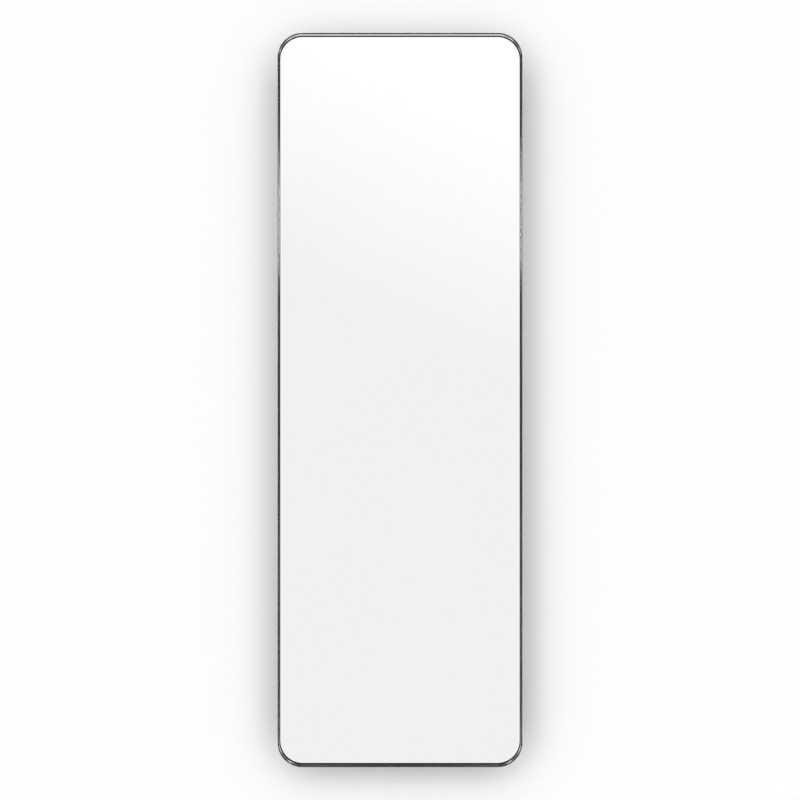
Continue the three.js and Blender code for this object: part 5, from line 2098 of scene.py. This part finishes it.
@dataclass
class StudioLight:
    """The light of the studio, as a world.

    The camera sees plain white. Matt surfaces are lit by a ring of soft lights round the camera, a little up
    and to the left of it, over an even fill. Metal and glass show a bright room with soft panels.
    """

    key: Lobe = Lobe((-0.031, -1.0, 0.148), 9.2, 5.35)
    key_middle: Lobe = Lobe((-0.017, -1.0, 0.086), 14.5, 12.6)
    fill: float = 0.265
    rear_key: Lobe = Lobe((-0.45, 0.6, 0.65), 1.3, 2.0)
    rear_fill: float = 0.62
    rear_edge: float = 0.3
    rear_gleam: Lobe = Lobe((-0.35, 0.7, 0.55), 1.6, 9.0)
    rear_room: float = 0.42
    rear_rise: float = 0.42
    room_level: float = 0.8
    room_rise: float = 0.2
    mirror_level: float = 0.918
    mirror_up: float = 0.62
    mirror_across: float = 0.29
    mirror_offset: float = -0.043
    mirror_softness: float = 0.02
    mirror_most: float = 1.06
    front_limit: float = -0.2
    rear_limit: float = 0.1
    limit_edge: float = 0.1
    least_ahead: float = 0.05
    after_one: float = 1.5
    before_one: float = 0.5
    mirror_view: tuple[Band, Band] = (Band(-0.5, 0.5, 0.1), Band(-0.6, 0.6, 0.1))
    panels: tuple[Panel, ...] = (
        Panel(Band(-0.50, 0.50, 0.05), Band(0.37, 0.90, 0.02), 0.25),
        Panel(Band(-0.45, -0.125, 0.01), Band(0.12, 0.22, 0.02), 14.0),
        Panel(Band(0.125, 0.45, 0.01), Band(0.12, 0.22, 0.02), 14.0),
    )
    inner_panels: tuple[Panel, ...] = (
        Panel(Band(-0.60, 0.60, 0.05), Band(-0.80, -0.318, 0.008), 6.0),
        Panel(Band(-0.34, -0.13, 0.01), Band(-0.34, -0.10, 0.02), 3.8),
        Panel(Band(0.13, 0.34, 0.01), Band(-0.34, -0.10, 0.02), 3.8),
        Panel(Band(-0.20, 0.20, 0.03), Band(-0.29, 0.12, 0.01), 0.45),
        Panel(Band(-0.50, 0.50, 0.05), Band(0.24, 0.90, 0.02), 0.3),
        Panel(Band(-0.25, -0.07, 0.01), Band(0.12, 0.22, 0.02), 15.0),
        Panel(Band(0.07, 0.25, 0.01), Band(0.12, 0.22, 0.02), 15.0),
    )

    def build(self) -> None:
        """Makes the world."""
        made = bpy.data.worlds.new("studio")
        made.use_nodes = True
        made.cycles.sampling_method = "NONE"
        self.tree = made.node_tree
        self.tree.nodes.clear()
        place = add_node(self.tree, "ShaderNodeTexCoord")
        parts = add_node(self.tree, "ShaderNodeSeparateXYZ", {0: place.outputs["Generated"]})
        x, y, z = (parts.outputs[i] for i in range(3))
        path = add_node(self.tree, "ShaderNodeLightPath")
        scattered = path.outputs["Diffuse Depth"]
        matt = self.matt_light(x, y, z, scattered)
        gleam = self.shown(x, y, z, scattered, path.outputs["Glossy Depth"])
        lit = self.mixed(path.outputs["Is Glossy Ray"], matt, gleam)
        seen = self.mixed(path.outputs["Is Camera Ray"], lit, 1.0)
        glow = add_node(
            self.tree, "ShaderNodeBackground", {"Color": (1.0, 1.0, 1.0, 1.0), "Strength": seen}
        )
        add_node(self.tree, "ShaderNodeOutputWorld", {"Surface": glow.outputs["Background"]})
        bpy.context.scene.world = made

    def sum_of(self, operation: str, first: Value, second: Value = 0.0) -> bpy.types.NodeSocket:
        """The result of a sum on two values, by Blender's name for it."""
        return math_of(self.tree, operation, first, second)

    def mixed(self, share: Value, first: Value, second: Value) -> bpy.types.NodeSocket:
        """A value between two, by the share of the second."""
        node = add_node(self.tree, "ShaderNodeMix", {0: share, 2: first, 3: second}, data_type="FLOAT")
        return node.outputs[0]

    def step(self, value: Value, middle: float, edge: float) -> bpy.types.NodeSocket:
        """A soft step from 0 to 1 round a middle value."""
        node = add_node(
            self.tree,
            "ShaderNodeMapRange",
            {"Value": value, "From Min": middle - edge, "From Max": middle + edge},
            interpolation_type="SMOOTHSTEP",
        )
        return node.outputs["Result"]

    def inside(self, value: Value, band: Band) -> bpy.types.NodeSocket:
        """1 where a value lies in a band, 0 outside it."""
        return self.sum_of(
            "SUBTRACT", self.step(value, band.low, band.edge), self.step(value, band.high, band.edge)
        )

    def shown(
        self, x: Value, y: Value, z: Value, scattered: Value, mirrored: Value
    ) -> bpy.types.NodeSocket:
        """What metal and glass show.

        Args:
            x: First part of the ray's direction.
            y: Second part.
            z: Third part.
            scattered: How often the ray has bounced off matt surfaces. The wall shades what lies behind the
                mirror, so light from behind doesn't reach the wall.
            mirrored: How often it has bounced off metal or glass. The frame's inner walls lie beside the
                glass, so their gleam has bounced twice.

        Returns:
            The socket with the strength.
        """
        ahead = self.sum_of("MAXIMUM", self.sum_of("MULTIPLY", y, -1.0), self.least_ahead)
        across, up = self.sum_of("DIVIDE", x, ahead), self.sum_of("DIVIDE", z, ahead)
        room = self.sum_of("ADD", self.sum_of("MULTIPLY", z, self.room_rise), self.room_level)
        slope = self.sum_of(
            "ADD",
            self.sum_of("MULTIPLY", up, self.mirror_up),
            self.sum_of("MULTIPLY", across, self.mirror_across),
        )
        ramp = self.sum_of("ADD", slope, self.mirror_offset)
        eased = add_node(
            self.tree,
            "ShaderNodeMath",
            {0: ramp, 1: 0.0, 2: self.mirror_softness},
            operation="SMOOTH_MAX",
        )
        lifted = self.sum_of("ADD", eased.outputs[0], self.mirror_level)
        view = self.sum_of("MINIMUM", lifted, self.mirror_most)
        up_band, across_band = self.mirror_view
        window = self.sum_of("MULTIPLY", self.inside(up, up_band), self.inside(across, across_band))
        level = self.mixed(window, room, view)
        ahead_only = self.sum_of("SUBTRACT", 1.0, self.step(y, self.front_limit, self.limit_edge))
        first = self.with_panels(level, self.panels, across, up, ahead_only)
        second = self.with_panels(room, self.inner_panels, across, up, ahead_only)
        level = self.mixed(self.sum_of("GREATER_THAN", mirrored, self.after_one), first, second)
        rear_room = self.sum_of("ADD", self.sum_of("MULTIPLY", z, self.rear_rise), self.rear_room)
        rear = self.sum_of("ADD", self.glow(self.rear_gleam, x, y, z), rear_room)
        unshaded = self.sum_of("LESS_THAN", scattered, self.before_one)
        behind = self.step(y, self.rear_limit, self.limit_edge)
        return self.mixed(behind, level, self.sum_of("MULTIPLY", unshaded, rear))

    def with_panels(
        self, level: Value, panels: Sequence[Panel], across: Value, up: Value, share: Value
    ) -> bpy.types.NodeSocket:
        """A level with panels laid over it.

        Args:
            level: The level round the panels.
            panels: The panels.
            across: How far across the ray points per unit ahead.
            up: How far up it points per unit ahead.
            share: 1 where the ray points ahead, 0 behind.

        Returns:
            The socket with the strength.
        """
        for panel in panels:
            place = self.sum_of("MULTIPLY", self.inside(across, panel.across), self.inside(up, panel.up))
            level = self.mixed(self.sum_of("MULTIPLY", place, share), level, panel.strength)
        return level

    def matt_light(self, x: Value, y: Value, z: Value, scattered: Value) -> bpy.types.NodeSocket:
        """The light on matt surfaces.

        Args:
            x: First part of the ray's direction.
            y: Second part.
            z: Third part.
            scattered: How often the ray has bounced off matt surfaces. Light from behind reaches only the
                first, because the wall shades what lies behind the mirror.

        Returns:
            The socket with the strength.
        """
        ring = self.sum_of("SUBTRACT", self.glow(self.key, x, y, z), self.glow(self.key_middle, x, y, z))
        front = self.sum_of("MAXIMUM", self.sum_of("ADD", ring, self.fill), 0.0)
        behind = self.step(y, self.rear_edge / 2, self.rear_edge / 2)
        seen = self.sum_of("LESS_THAN", scattered, self.after_one)
        rear = self.sum_of("ADD", self.glow(self.rear_key, x, y, z), self.rear_fill)
        return self.mixed(behind, front, self.sum_of("MULTIPLY", seen, rear))

    def glow(self, lobe: Lobe, x: Value, y: Value, z: Value) -> bpy.types.NodeSocket:
        """The light of a lobe.

        Args:
            lobe: The lobe.
            x: First part of the ray's direction.
            y: Second part.
            z: Third part.

        Returns:
            The socket with the strength.
        """
        towards = Vector(lobe.towards).normalized()
        facing = self.sum_of(
            "ADD",
            self.sum_of("ADD", self.sum_of("MULTIPLY", x, towards.x), self.sum_of("MULTIPLY", y, towards.y)),
            self.sum_of("MULTIPLY", z, towards.z),
        )
        share = self.sum_of("POWER", self.sum_of("MAXIMUM", facing, 0.0), lobe.spread)
        return self.sum_of("MULTIPLY", share, lobe.strength)


def main() -> None:
    """Builds the studio and every sub-assembly."""
    logging.basicConfig(level=logging.INFO, format="%(name)s: %(message)s")
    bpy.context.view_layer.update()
    Studio().build()
    StudioLight().build()
    for part in (MirrorPanel(), BackFrame(), Swivel(), Slides(), Plates()):
        part.build()
        LOG.info("%s is built", type(part).__name__)


if __name__ == "__main__":
    main()
